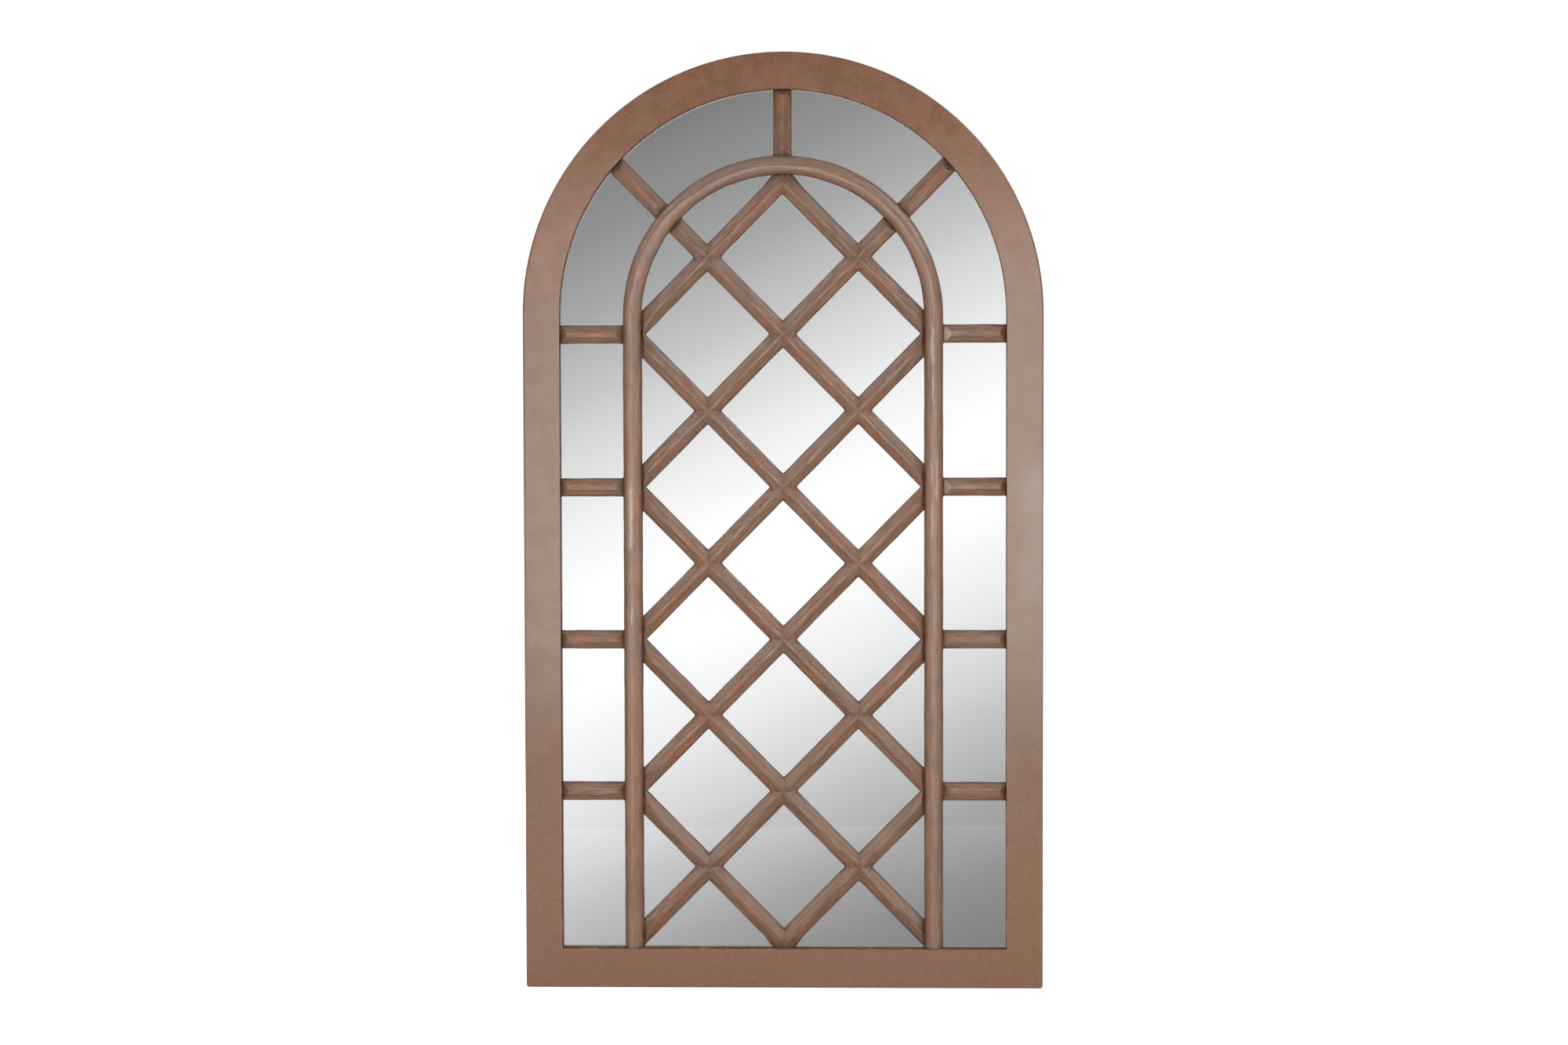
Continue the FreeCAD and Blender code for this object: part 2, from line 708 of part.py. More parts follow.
def make_hoop_leg(label, side):
    """Straight leg of the hoop: its foot enters the rail with a tongue, its flanks
    are housed for the glazing bars inside and the muntins outside."""
    body = new_body(label, across=f"{side} * hoop_reach", depth="glass_front")
    section = new_sketch(body, "section", "XZ_Plane", "-rail_face")
    add_half_round(section, "0", "hoop_width", "hoop_height", "hoop_edge")
    pad(body, section, "leg", "hoop_spring - rail_face", reverse=True)
    tongue = new_sketch(body, "tongue_outline")
    add_rectangle(tongue, "-tongue_width / 2", "tongue_width / 2", "rail_face - tongue_length", "rail_face")
    pad(body, tongue, "foot_tongue", "tongue_thickness")
    inner = f"{-side} * hoop_width / 2"
    outer = f"{side} * hoop_width / 2"
    housing = new_sketch(body, "housing_outlines")
    add_rectangle(housing, f"{inner} + {side} * housing_length", f"{inner} - {side * OVERCUT}",
                  f"{row_height(1)} - tongue_width - tongue_clearance",
                  f"{row_height(1)} + tongue_width + tongue_clearance")
    add_rectangle(housing, f"{outer} - {side} * housing_length", f"{outer} + {side * OVERCUT}",
                  f"{row_height(1)} - housing_half", f"{row_height(1)} + housing_half")
    first = pocket(body, housing, "housings", "housing_depth", reverse=True)
    row_pattern(body, [first], "housing_rows", "(lattice_rows - 2) * row_pitch", "lattice_rows - 1")
    corner = new_sketch(body, "corner_housing_outline")
    add_rectangle(corner, f"{inner} + {side} * housing_length", f"{inner} - {side * OVERCUT}",
                  f"{row_height(0)} - tongue_clearance",
                  f"{row_height(0)} + tongue_width + tongue_clearance")
    pocket(body, corner, "corner_housing", "housing_depth", reverse=True)
    bore = new_sketch(body, "bore", "XZ_Plane", "-hoop_spring")
    add_circle(bore, "0", "dowel_height", "dowel_diameter / 2 + dowel_clearance")
    pocket(body, bore, "dowel_bore", "dowel_length / 2 + dowel_clearance", reverse=True)
    keep(body, label)


def make_dowels():
    """Dowels across the joints between the crown and the two legs."""
    body = new_body("hoop_dowels", depth="glass_front")
    circles = new_sketch(body, "circles", "XZ_Plane", "dowel_length / 2 - hoop_spring")
    for side in (LEFT, RIGHT):
        add_circle(circles, f"{side} * hoop_reach", "dowel_height", "dowel_diameter / 2")
    pad(body, circles, "pins", "dowel_length", reverse=True)
    keep(body, "hoop_dowels")


# ----------------------------------------------------------------- the lattice

def chamfer_edges(body, name, size, chosen):
    """Slopes off the edges that the test picks by their middle point."""
    doc.recompute()
    feature = body.Tip
    names = [f"Edge{index}" for index, edge in enumerate(feature.Shape.Edges, start=1)
             if chosen(middle_of(edge))]
    chamfer = body.newObject("PartDesign::Chamfer", f"{body.Name}_{name}")
    chamfer.Base = (feature, names)
    bind(chamfer, "Size", size)
    return chamfer


def make_lattice_field():
    """The room inside the hoop that the glazing bars may fill: full height with
    hips along the hoop, and thin tongues that reach under it."""
    body = new_body("lattice_field", depth="glass_front")
    outline = new_sketch(body, "outline")
    add_arched_outline(outline, "hoop_inner", "rail_face", "hoop_spring")
    pad(body, outline, "room", "bar_height")
    high = value(body, "bar_height")
    foot = value(body, "rail_face")
    chamfer_edges(body, "hips", "bar_hip", lambda at: near(at.z, high) and not near(at.y, foot))
    tongues = new_sketch(body, "tongue_outlines")
    corners = new_sketch(body, "corner_tongue_outlines")
    for side in (LEFT, RIGHT):
        reach = (f"{side} * (hoop_inner - {OVERCUT})", f"{side} * (hoop_inner + tongue_length)")
        add_rectangle(tongues, *reach, f"{row_height(1)} - tongue_width", f"{row_height(1)} + tongue_width")
        add_rectangle(corners, *reach, row_height(0), f"{row_height(0)} + tongue_width")
        add_turned_rectangle(corners, side, f"diagonal_inner - {OVERCUT}", "diagonal_inner + tongue_length",
                             "tongue_width / 2")
    rows = pad(body, tongues, "tongues", "tongue_thickness")
    row_pattern(body, [rows], "tongue_rows", "(lattice_rows - 2) * row_pitch", "lattice_rows - 1")
    pad(body, corners, "corner_tongues", "tongue_thickness")
    return body


def make_border_field():
    """The room between hoop and frame that the muntins may fill, hipped along both,
    with tongues under both."""
    body = new_body("border_field", depth="glass_front")
    outline = new_sketch(body, "outline")
    add_arched_outline(outline, "opening_half", "rail_face", "arch_spring")
    pad(body, outline, "room", "muntin_height")
    hole = new_sketch(body, "hole")
    add_arched_outline(hole, "hoop_outer", f"rail_face - {OVERCUT}", "hoop_spring")
    pocket(body, hole, "hoop_hole", "muntin_height", reverse=True)
    high = value(body, "muntin_height")
    foot = value(body, "rail_face")
    chamfer_edges(body, "hips", "muntin_hip", lambda at: near(at.z, high) and not near(at.y, foot))
    sides = new_sketch(body, "side_tongue_outlines")
    others = new_sketch(body, "other_tongue_outlines")
    half = "tongue_width / 2"
    for side in (LEFT, RIGHT):
        for start, end in (("hoop_outer - tongue_length", f"hoop_outer + {OVERCUT}"),
                           (f"opening_half - {OVERCUT}", "opening_half + tongue_length")):
            add_rectangle(sides, f"{side} * ({start})", f"{side} * ({end})",
                          f"{row_height(1)} - {half}", f"{row_height(1)} + {half}")
        for start, end in (("diagonal_outer - tongue_length", f"diagonal_outer + {OVERCUT}"),
                           (f"diagonal_arch - {OVERCUT}", "diagonal_arch + tongue_length")):
            add_turned_rectangle(others, side, start, end, half)
    for start, end in (("hoop_spring + hoop_outer - tongue_length", f"hoop_spring + hoop_outer + {OVERCUT}"),
                       (f"arch_spring + opening_half - {OVERCUT}",
                        "arch_spring + opening_half + tongue_length")):
        add_rectangle(others, f"-{half}", half, start, end)
    rows = pad(body, sides, "side_tongues", "tongue_thickness")
    row_pattern(body, [rows], "side_tongue_rows", "(lattice_rows - 2) * row_pitch", "lattice_rows - 1")
    pad(body, others, "other_tongues", "tongue_thickness")
    return body


def make_bar_blank(name, wide, high, start, end, **place):
    """A straight length of moulding along x, from start to end."""
    body = new_body(name, depth="glass_front", **place)
    section = new_sketch(body, "section", "YZ_Plane", start)
    add_ridged(section, wide, high, "bar_edge", "bar_ridge")
    pad(body, section, "length", f"({end}) - ({start})")
    return body


def cut_crossings(body, way, places):
    """Halves a bar where others cross it. In the square base the rising bars keep
    the back half and the falling bars the front half; above the base both are
    mitred along the upright and the level line through the crossing."""
    lap_half = "((bar_width / 2 + halving_clearance) / sin(2 * slope))"
    across = f"(bar_width / 2 + {OVERCUT})"
    lean = f"{way} * {across} / tan(2 * slope)"
    laps = new_sketch(body, "laps", level="bar_edge / 2" if way == RISE else "0")
    mitres = new_sketch(body, "mitres", level="bar_edge")
    rise = f"{way} * {across} * tan(slope)"
    run = f"{way} * {across} / tan(slope)"
    gap = f"{way} * mitre_gap"
    for place in places:
        add_outline(laps, [
            (f"{place} + ({lean}) - {lap_half}", f"-{across}"),
            (f"{place} + ({lean}) + {lap_half}", f"-{across}"),
            (f"{place} - ({lean}) + {lap_half}", across),
            (f"{place} - ({lean}) - {lap_half}", across),
        ])
        add_outline(mitres, [
            (f"{place} + {rise} + {gap}", across),
            (f"{place} + {gap}", "0"),
            (f"{place} + {run} + {gap}", f"-{across}"),
            (f"{place} - ({rise} + {gap})", f"-{across}"),
            (f"{place} - {gap}", "0"),
            (f"{place} - ({run} + {gap})", across),
        ])
    pocket(body, laps, "halvings", "bar_edge / 2", reverse=True)
    pocket(body, mitres, "mitre_cuts", "bar_height", reverse=True)


def make_lattice_bar(label, way, row, field):
    """One diagonal glazing bar through the node of its row on the middle line. It
    runs from hoop to hoop; the first and the last bar start at an apex instead,
    where they are mitred against their mirror image."""
    rows = int(value(doc.getObject("Sizes"), "lattice_rows"))
    first, last = row == 0, row == rows
    starts_at_apex = (first and way == RISE) or (last and way == FALL)
    ends_at_apex = (first and way == FALL) or (last and way == RISE)
    start = "-bar_width" if starts_at_apex else "-blank_reach"
    end = "bar_width" if ends_at_apex else "blank_reach"
    turn = "slope" if way == RISE else "-slope"
    body = make_bar_blank(label + "_moulding", "bar_width", "bar_height", start, end,
                          height=row_height(row), turn=turn)
    places = []
    if not starts_at_apex:
        places.append("-node_step")
    if not (first or last):
        places.append("0")
    if not ends_at_apex:
        places.append("node_step")
    cut_crossings(body, way, places)
    low = "rail_face - tongue_length" if first else f"{row_height(row - 1)} + mitre_gap / 2"
    high = "hoop_spring + hoop_reach" if last else f"{row_height(row + 1)} - mitre_gap / 2"
    left = "mitre_gap / 2" if starts_at_apex else "-hoop_reach"
    right = "-mitre_gap / 2" if ends_at_apex else "hoop_reach"
    room = doc.addObject("Part::Box", label + "_room")
    bind(room, "Length", f"({right}) - ({left})")
    bind(room, "Width", f"({high}) - ({low})")
    bind(room, "Height", "bar_height")
    upright(room, across=left, height=low, depth="glass_front")
    bar = doc.addObject("Part::MultiCommon", label)
    bar.Shapes = [body, field, room]
    keep(bar, label)


def make_muntin(label, field, start, end, **place):
    """Short glazing bar that crosses the border between hoop and frame."""
    body = make_bar_blank(label + "_moulding", "muntin_width", "muntin_height",
                          f"({start}) - tongue_length", f"({end}) + tongue_length", **place)
    muntin = doc.addObject("Part::MultiCommon", label)
    muntin.Shapes = [body, field]
    keep(muntin, label)


# --------------------------------------------------------- hangers and bumpers

def make_strap(label, side):
    """Steel strap screwed to the stile. Its upper end is rolled round the ring's wire."""
    body = new_body(label, across=f"{side} * stile_middle", height="hanger_height")
    plate = new_sketch(body, "plate_outline")
    add_rectangle(plate, "-strap_width / 2", "strap_width / 2", "-strap_length", "0")
    pad(body, plate, "plate", "strap_thickness", reverse=True)
    low = value(body, "-strap_length")
    round_edges(body, "end_rounding", "strap_width / 2 - screw_clearance",
                lambda at, edge: near(at.y, low) and near(edge.Length, value(body, "strap_thickness")))
    knuckle = new_sketch(body, "knuckle_section", "YZ_Plane", "-strap_width / 2")
    add_circle(knuckle, "0", "-pivot_depth", "knuckle_bore + strap_thickness")
    pad(body, knuckle, "knuckle", "strap_width")
    bore = new_sketch(body, "bore_section", "YZ_Plane", "-strap_width / 2")
    add_circle(bore, "0", "-pivot_depth", "knuckle_bore")
    pocket(body, bore, "bore", "strap_width", reverse=True)
    screws = new_sketch(body, "screw_circles", level="-strap_thickness")
    for height in ("-strap_screw_top", "-strap_screw_top - strap_screw_pitch"):
        add_circle(screws, "0", height, "board_screw_diameter / 2 + screw_clearance")
    pocket(body, screws, "screw_holes", "strap_thickness", reverse=True)
    keep(body, label)


def make_ring(label, side):
    """D-shaped wire ring that hangs from the strap: a straight bar through the
    knuckle, two small corners, two short sides and a half round."""
    body = new_body(label, across=f"{side} * stile_middle", height="hanger_height", depth="-pivot_depth")
    path = new_sketch(body, "path")
    bar = value(path, "ring_half_width - ring_corner")
    width = value(path, "ring_half_width")
    corner = value(path, "ring_corner")
    low = -corner - value(path, "ring_side")
    up = FreeCAD.Vector(0, 0, 1)

    def arc(x, y, radius, start, end):
        return Part.ArcOfCircle(Part.Circle(FreeCAD.Vector(x, y, 0), up, radius), start, end)

    quarter = math.pi / 2
    path.addGeometry([
        Part.LineSegment(FreeCAD.Vector(-bar, 0, 0), FreeCAD.Vector(bar, 0, 0)),
        arc(bar, -corner, corner, 0, quarter),
        Part.LineSegment(FreeCAD.Vector(width, -corner, 0), FreeCAD.Vector(width, low, 0)),
        arc(0, low, width, 2 * quarter, 4 * quarter),
        Part.LineSegment(FreeCAD.Vector(-width, low, 0), FreeCAD.Vector(-width, -corner, 0)),
        arc(-bar, -corner, corner, quarter, 2 * quarter),
    ], False)
    meetings = ((0, 2, 1, 2), (1, 1, 2, 1), (2, 2, 3, 2), (3, 1, 4, 1), (4, 2, 5, 2), (5, 1, 0, 1))
    for meeting in meetings:
        path.addConstraint(Sketcher.Constraint("Tangent", *meeting))
    pin(path, 0, 1, ("ring_corner - ring_half_width", "0"))
    pin(path, 0, 2, ("ring_half_width - ring_corner", "0"))
    for index, text in ((1, "ring_corner"), (5, "ring_corner")):
        number = path.addConstraint(Sketcher.Constraint("Radius", index, corner))
        bind(path, f"Constraints[{number}]", text)
    number = path.addConstraint(Sketcher.Constraint("DistanceY", 2, 2, low))
    bind(path, f"Constraints[{number}]", "-ring_corner - ring_side")
    wire = new_sketch(body, "wire_section", "YZ_Plane")
    add_circle(wire, "0", "0", "wire_diameter / 2")
    pipe = body.newObject("PartDesign::AdditivePipe", f"{body.Name}_wire")
    pipe.Profile = wire
    pipe.Spine = (path, [f"Edge{index + 1}" for index in range(path.GeometryCount)])
    keep(body, label)


def make_bumpers():
    """Soft round pads low on the stiles that keep the frame off the wall."""
    body = new_body("wall_bumpers")
    circles = new_sketch(body, "circles")
    for side in (LEFT, RIGHT):
        add_circle(circles, f"{side} * stile_middle", "bumper_height", "bumper_radius")
    pad(body, circles, "pads", "bumper_thickness", reverse=True)
    back = -value(body, "bumper_thickness")
    round_edges(body, "rounding", "bumper_round", lambda at, edge: near(at.z, back))
    keep(body, "wall_bumpers")


# ------------------------------------------------------------------ the mirror

def make_mirror():
    make_head("head_left", LEFT)
    make_head("head_right", RIGHT)
    make_stile("stile_left", LEFT)
    make_stile("stile_right", RIGHT)
    make_rail()
    make_joint_screws()

    make_sheet("mirror_glass", "glass_seat_half - glass_clearance", "glass_seat_foot + glass_clearance",
               "foam_front", "glass_thickness")
    make_sheet("foam_sheet", "glass_seat_half - foam_inset", "glass_seat_foot + foam_inset",
               "board_thickness", "foam_thickness")
    make_backing_board()
    make_pan_screws("board_screws", all_board_screws(), "0", "board_screw_length")

    make_hoop_crown()
    make_hoop_leg("hoop_leg_left", LEFT)
    make_hoop_leg("hoop_leg_right", RIGHT)
    make_dowels()

    lattice_field = make_lattice_field()
    rows = int(value(doc.getObject("Sizes"), "lattice_rows"))
    for row in range(rows + 1):
        make_lattice_bar(f"lattice_rise_{row + 1}", RISE, row, lattice_field)
        make_lattice_bar(f"lattice_fall_{row + 1}", FALL, row, lattice_field)

    border_field = make_border_field()
    for row in range(1, rows):
        make_muntin(f"muntin_left_{row}", border_field, "-opening_half", "-hoop_outer",
                    height=row_height(row))
        make_muntin(f"muntin_right_{row}", border_field, "hoop_outer", "opening_half",
                    height=row_height(row))
    make_muntin("muntin_top", border_field, "hoop_spring + hoop_outer", "arch_spring + opening_half",
                turn="90")
    make_muntin("muntin_diagonal_right", border_field, "diagonal_outer", "diagonal_arch",
                height="cross_node", turn="slope")
    make_muntin("muntin_diagonal_left", border_field, "diagonal_outer", "diagonal_arch",
                height="cross_node", turn="180 deg - slope")

    make_strap("hanger_strap_left", LEFT)
    make_strap("hanger_strap_right", RIGHT)
    make_ring("hanger_ring_left", LEFT)
    make_ring("hanger_ring_right", RIGHT)
    make_pan_screws("hanger_screws", strap_screws(LEFT) + strap_screws(RIGHT), "strap_thickness",
                    "strap_screw_length")
    make_bumpers()


def check_document():
    doc.recompute()
    for item in doc.Objects:
        if "Invalid" in item.State or "Error" in item.State:
            raise ValueError(f"{item.Name} failed: {item.State}")
    for piece in nodes:
        if piece.Shape.isNull() or not piece.Shape.isValid():
            raise ValueError(f"{piece.Label} has no valid shape")


def write_parts():
    os.makedirs("parts", exist_ok=True)
    for piece in nodes:
        piece.Shape.exportStep(f"parts/{piece.Label}.step")
        print(f"{piece.Label}: {len(piece.Shape.Solids)} solid(s), {piece.Shape.Volume / 1000:.1f} cm3")


fill_sheet("Sizes", SIZES, str)
fill_sheet("Places", PLACES, lambda text: "=" + own_names(text))
make_mirror()
check_document()
write_parts()
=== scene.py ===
"""Arched window mirror: the looks built round its frame.

Every size is in metres. x runs across the mirror, y from the room towards the wall and
z up. The mirror stands on z = 0 with its back on y = 0.
"""

import math
from types import SimpleNamespace

import bmesh
import bpy
import numpy as np
from mathutils import Matrix, Vector


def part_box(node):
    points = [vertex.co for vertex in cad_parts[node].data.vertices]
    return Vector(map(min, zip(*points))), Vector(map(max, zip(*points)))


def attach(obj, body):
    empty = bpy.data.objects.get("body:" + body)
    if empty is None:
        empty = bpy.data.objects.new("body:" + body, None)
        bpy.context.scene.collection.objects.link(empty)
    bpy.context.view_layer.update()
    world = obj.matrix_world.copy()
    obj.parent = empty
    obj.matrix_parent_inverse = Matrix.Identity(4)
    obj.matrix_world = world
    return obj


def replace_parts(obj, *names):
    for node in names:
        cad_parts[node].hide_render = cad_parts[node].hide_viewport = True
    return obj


bl_info = {
    "name": "Arched Window Mirror",
    "version": (1, 0, 0),
    "blender": (4, 5, 0),
    "location": "3D View > Sidebar > Mirror",
    "description": "Carves and finishes an arched window mirror with a diamond lattice",
    "category": "Object",
}

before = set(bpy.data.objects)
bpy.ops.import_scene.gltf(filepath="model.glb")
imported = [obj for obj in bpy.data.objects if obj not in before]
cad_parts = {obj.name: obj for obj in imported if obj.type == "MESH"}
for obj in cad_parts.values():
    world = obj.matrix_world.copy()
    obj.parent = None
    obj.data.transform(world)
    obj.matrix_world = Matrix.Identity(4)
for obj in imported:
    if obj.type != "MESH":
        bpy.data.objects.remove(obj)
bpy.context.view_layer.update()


def low(node):
    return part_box(node)[0]


def high(node):
    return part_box(node)[1]


def middle(node):
    return (low(node) + high(node)) / 2


# Places that the frame gives.
GLASS_FRONT = low("mirror_glass").y
FRAME_FRONT = low("bottom_rail").y
FRAME_REACH = high("stile_right").x
OPENING_REACH = low("stile_right").x
ARCH_SPRING = high("stile_right").z
RAIL_TOP = high("bottom_rail").z
HOOP_OUTER = high("hoop_leg_right").x
HOOP_INNER = low("hoop_leg_right").x
HOOP_SPRING = low("hoop_crown").z
HOOP_MIDDLE = (HOOP_OUTER + HOOP_INNER) / 2
HOOP_HEIGHT = GLASS_FRONT - low("hoop_crown").y
LATTICE_HEIGHT = GLASS_FRONT - low("lattice_rise_1").y
MUNTIN_HEIGHT = GLASS_FRONT - low("muntin_left_1").y
MUNTIN_WIDTH = high("muntin_left_1").z - low("muntin_left_1").z
ROW_STEP = middle("muntin_left_2").z - middle("muntin_left_1").z
FIRST_ROW = middle("muntin_left_1").z - ROW_STEP
APEX_ROW = 5

# How far a carved end reaches into the hoop, the rail and the frame beside it.
HOOP_TUCK = 0.004
RAIL_TUCK = 0.0008
FRAME_TUCK = 0.0006


def row_height(number):
    """Height of a row of crossings, counted from the lattice's foot."""
    return FIRST_ROW + number * ROW_STEP


def shade(red, green, blue):
    """Screen values from 0 to 255 as the linear colour that a shader takes."""
    found = []
    for value in (red, green, blue):
        part = value / 255
        found.append(part / 12.92 if part <= 0.04045 else ((part + 0.055) / 1.055) ** 2.4)
    return tuple(found)


# ---------------------------------------------------------------- sizes and colours


def amount(name, text, default, unit="NONE"):
    return bpy.props.FloatProperty(name=name, description=text, default=default, min=0.0, unit=unit)


def distance(name, text, default):
    return bpy.props.FloatProperty(
        name=name, description=text, default=default, min=0.0, unit="LENGTH", precision=4
    )


def paint(name, text, default):
    return bpy.props.FloatVectorProperty(
        name=name, description=text, default=default, size=3, min=0.0, max=1.0, subtype="COLOR"
    )


class CarvingSizes(bpy.types.PropertyGroup):
    """How the bars and the hoop are shaped by hand."""

    column_reach: distance(
        "Column reach", "From the middle line to the next column of crossings", 0.116
    )
    lattice_width: distance("Lattice bar width", "Width of a lattice bar", 0.029)
    bar_edge: distance("Bar edge", "Height of a bar's upright side on the glass", 0.003)
    hoop_edge: distance("Hoop edge", "Height of the hoop's upright side on the glass", 0.002)
    fillet: distance("Glue fillet", "Radius of the rounded corners where bars meet", 0.0024)
    hip: distance("Hip length", "Length of the sloped facet at the end of a bar", 0.008)
    crossing_dip: distance("Crossing dip", "How far a ridge drops towards a crossing", 0.0012)
    ripple: distance("Ripple", "How far the hand-worked ridges rise and fall", 0.0004)
    spacing: distance("Mesh spacing", "Distance between the points along a bar", 0.0016)


class FinishColours(bpy.types.PropertyGroup):
    """The finishes' colours."""

    frame_brown: paint("Frame brown", "Main colour of the flat frame", shade(133, 90, 61))
    frame_grey: paint("Frame grey", "Greyer clouds in the frame's paint", shade(136, 98, 76))
    frame_red: paint("Frame red", "Redder clouds in the frame's paint", shade(130, 82, 53))
    # Painted shade: a duller, less red brown laid over the frame's middle height, where the lamps
    # and the sheen light it most.
    mid_height_shade: paint("Bloom", "Dull haze on the stiles' paint", shade(100, 80, 62))
    bar_brown: paint("Bar brown", "Main colour of the bars and the hoop", shade(130, 97, 79))
    bar_orange: paint("Bar orange", "Warm stain on the bars' flanks", shade(150, 102, 71))
    # Also a painted highlight: laid along the bars' crests.
    bar_pale_and_highlight: paint("Bar pale", "Rubbed paint along the bars' ridges", shade(160, 131, 115))
    # Painted highlight: this pale colour is laid on the sides that face up, as if lit from above.
    dust_and_painted_top_light: paint("Dust", "Pale wax on the sides that face up", shade(176, 152, 138))
    # Also painted shade: laid in the bars' corners and along their sides, round the frame's outer
    # rim and on the opening's walls.
    wax_and_painted_shade: paint("Dark wax", "Wax in the corners and along the edges", shade(54, 38, 30))
    # Also painted highlights: the pale crackled streaks on the hoop's legs.
    filler_and_highlight: paint("Chalk", "Bare filler where paint is rubbed off", shade(206, 192, 184))
    raw_edge: paint("Raw edge", "Pale line where paint stops at the glass", shade(205, 172, 142))
    hardboard: paint("Hardboard", "Back panel", shade(128, 94, 66))
    zinc: paint("Zinc", "Plated straps, rings and their screws", shade(196, 194, 190))
    rubber: paint("Rubber", "Bumpers", shade(60, 58, 56))


class StudioSettings(bpy.types.PropertyGroup):
    """Camera, lamps and surroundings."""

    camera_place: bpy.props.FloatVectorProperty(
        name="Camera place",
        description="Where the camera stands",
        default=(0.1027, -4.0, 0.8643),
        size=3,
        subtype="TRANSLATION",
    )
    camera_turn: bpy.props.FloatVectorProperty(
        name="Camera turn",
        description="Tilt down, turn to the left and roll of the camera",
        default=(math.radians(-2.06), math.radians(1.456), math.radians(-0.126)),
        size=3,
        subtype="EULER",
    )
    focal_length: amount("Focal length", "Lens on a 36 mm wide sensor, in millimetres", 59.42)
    key_power: amount("Key power", "Soft front lamp", 17.0, "POWER")
    upper_power: amount("Upper power", "Grazing lamp at the upper right", 32.0, "POWER")
    left_share: amount("Left share", "The upper left lamp's power beside the right one's", 0.65)
    back_power: amount("Back power", "Soft lamp behind", 34.0, "POWER")
    front_sheen: amount("Front sheen", "Brightness of the front panel in the gloss", 3.8)
    side_sheen: amount("Side sheen", "Brightness of the side panels in the gloss", 2.2)
    ambient: amount("Ambient", "Even light from all round", 0.3)


# ---------------------------------------------------------------- node trees


def wire(tree, node, inputs):
    """Sets a node's inputs. Each takes a value, or another node's output socket."""
    for key, value in inputs.items():
        socket = node.inputs[key]
        if isinstance(value, bpy.types.NodeSocket):
            tree.links.new(value, socket)
        elif socket.type == "RGBA":
            socket.default_value = (*value[:3], 1.0)
        else:
            socket.default_value = value


def put(tree, kind, inputs=None, **settings):
    """Adds one node with its settings and its inputs."""
    node = tree.nodes.new(kind)
    for key, value in settings.items():
        setattr(node, key, value)
    wire(tree, node, inputs or {})
    return node


def maths(tree, operation, first, second=0.0, third=0.0):
    inputs = {0: first, 1: second, 2: third}
    return put(tree, "ShaderNodeMath", inputs, operation=operation).outputs[0]


def times(tree, first, second):
    return maths(tree, "MULTIPLY", first, second)


def blend(tree, share, first, second, mode="MIX"):
    """Two colours mixed by a share from 0 to 1."""
    inputs = {0: share, 6: first, 7: second}
    return put(tree, "ShaderNodeMix", inputs, data_type="RGBA", blend_type=mode).outputs[2]


def layered(tree, colour, *layers):
    """A colour with others laid over it. Each layer is a mask, its share and its colour."""
    for mask, share, over in layers:
        colour = blend(tree, times(tree, mask, share), colour, over)
    return colour


def span(tree, value, start, end, first=0.0, last=1.0):
    """A value's way from start to end, as a number from first to last."""
    inputs = {"Value": value, "From Min": start, "From Max": end, "To Min": first, "To Max": last}
    return put(tree, "ShaderNodeMapRange", inputs, interpolation_type="SMOOTHSTEP").outputs[0]


def noise(tree, place, scale, detail=3.0, rough=0.55, **more):
    inputs = {"Vector": place, "Scale": scale, "Detail": detail, "Roughness": rough, **more}
    return put(tree, "ShaderNodeTexNoise", inputs).outputs["Fac"]


def cells(tree, place, scale, feature="F1"):
    inputs = {"Vector": place, "Scale": scale}
    return put(tree, "ShaderNodeTexVoronoi", inputs, feature=feature).outputs


def parts_of(tree, vector):
    return put(tree, "ShaderNodeSeparateXYZ", {0: vector}).outputs


def bumped(tree, height, strength, depth):
    inputs = {"Strength": strength, "Distance": depth, "Height": height}
    return put(tree, "ShaderNodeBump", inputs).outputs[0]


def object_place(tree):
    return put(tree, "ShaderNodeTexCoord").outputs["Object"]


def painted(tree, name, output="Fac"):
    """What a carved mesh says at each point."""
    return put(tree, "ShaderNodeAttribute", attribute_name=name).outputs[output]


def use_group(tree, name, inputs, outputs, build):
    """Uses a shader group, which is made the first time. It takes a place and some numbers.
    build takes the group and its input sockets, and returns the masks that it gives."""
    group = bpy.data.node_groups.get(name)
    if group is None:
        group = bpy.data.node_groups.new(name, "ShaderNodeTree")
        new_socket = group.interface.new_socket
        for label, value in inputs.items():
            if label == "Place":
                new_socket(label, in_out="INPUT", socket_type="NodeSocketVector")
            else:
                socket = new_socket(label, in_out="INPUT", socket_type="NodeSocketFloat")
                socket.default_value = value
        for label in outputs:
            new_socket(label, in_out="OUTPUT", socket_type="NodeSocketFloat")
        masks = build(group, put(group, "NodeGroupInput").outputs)
        put(group, "NodeGroupOutput", dict(zip(outputs, masks)))
    return put(tree, "ShaderNodeGroup", inputs, node_tree=group).outputs


def clouding(tree, place, scale, contrast):
    """Soft patches in a paint film, from 0 to 1."""

    def build(group, given):
        grain = noise(group, given["Place"], given["Scale"], 4.0, 0.6)
        start = maths(group, "SUBTRACT", 0.5, given["Contrast"])
        end = maths(group, "ADD", 0.5, given["Contrast"])
        return [span(group, grain, start, end)]

    inputs = {"Place": place, "Scale": scale, "Contrast": contrast}
    return use_group(tree, "Paint Clouding", inputs, ["Patches"], build)["Patches"]


def speckle(tree, place, scale):
    """Fine pale and dark specks of sprayed paint."""

    def build(group, given):
        fine = noise(group, given["Place"], given["Scale"], 2.0, 0.7)
        pips = cells(group, given["Place"], times(group, given["Scale"], 0.12))["Distance"]
        return [fine, span(group, pips, 0.09, 0.03)]

    inputs = {"Place": place, "Scale": scale}
    return use_group(tree, "Sprayed Speckle", inputs, ["Fine", "Pips"], build)


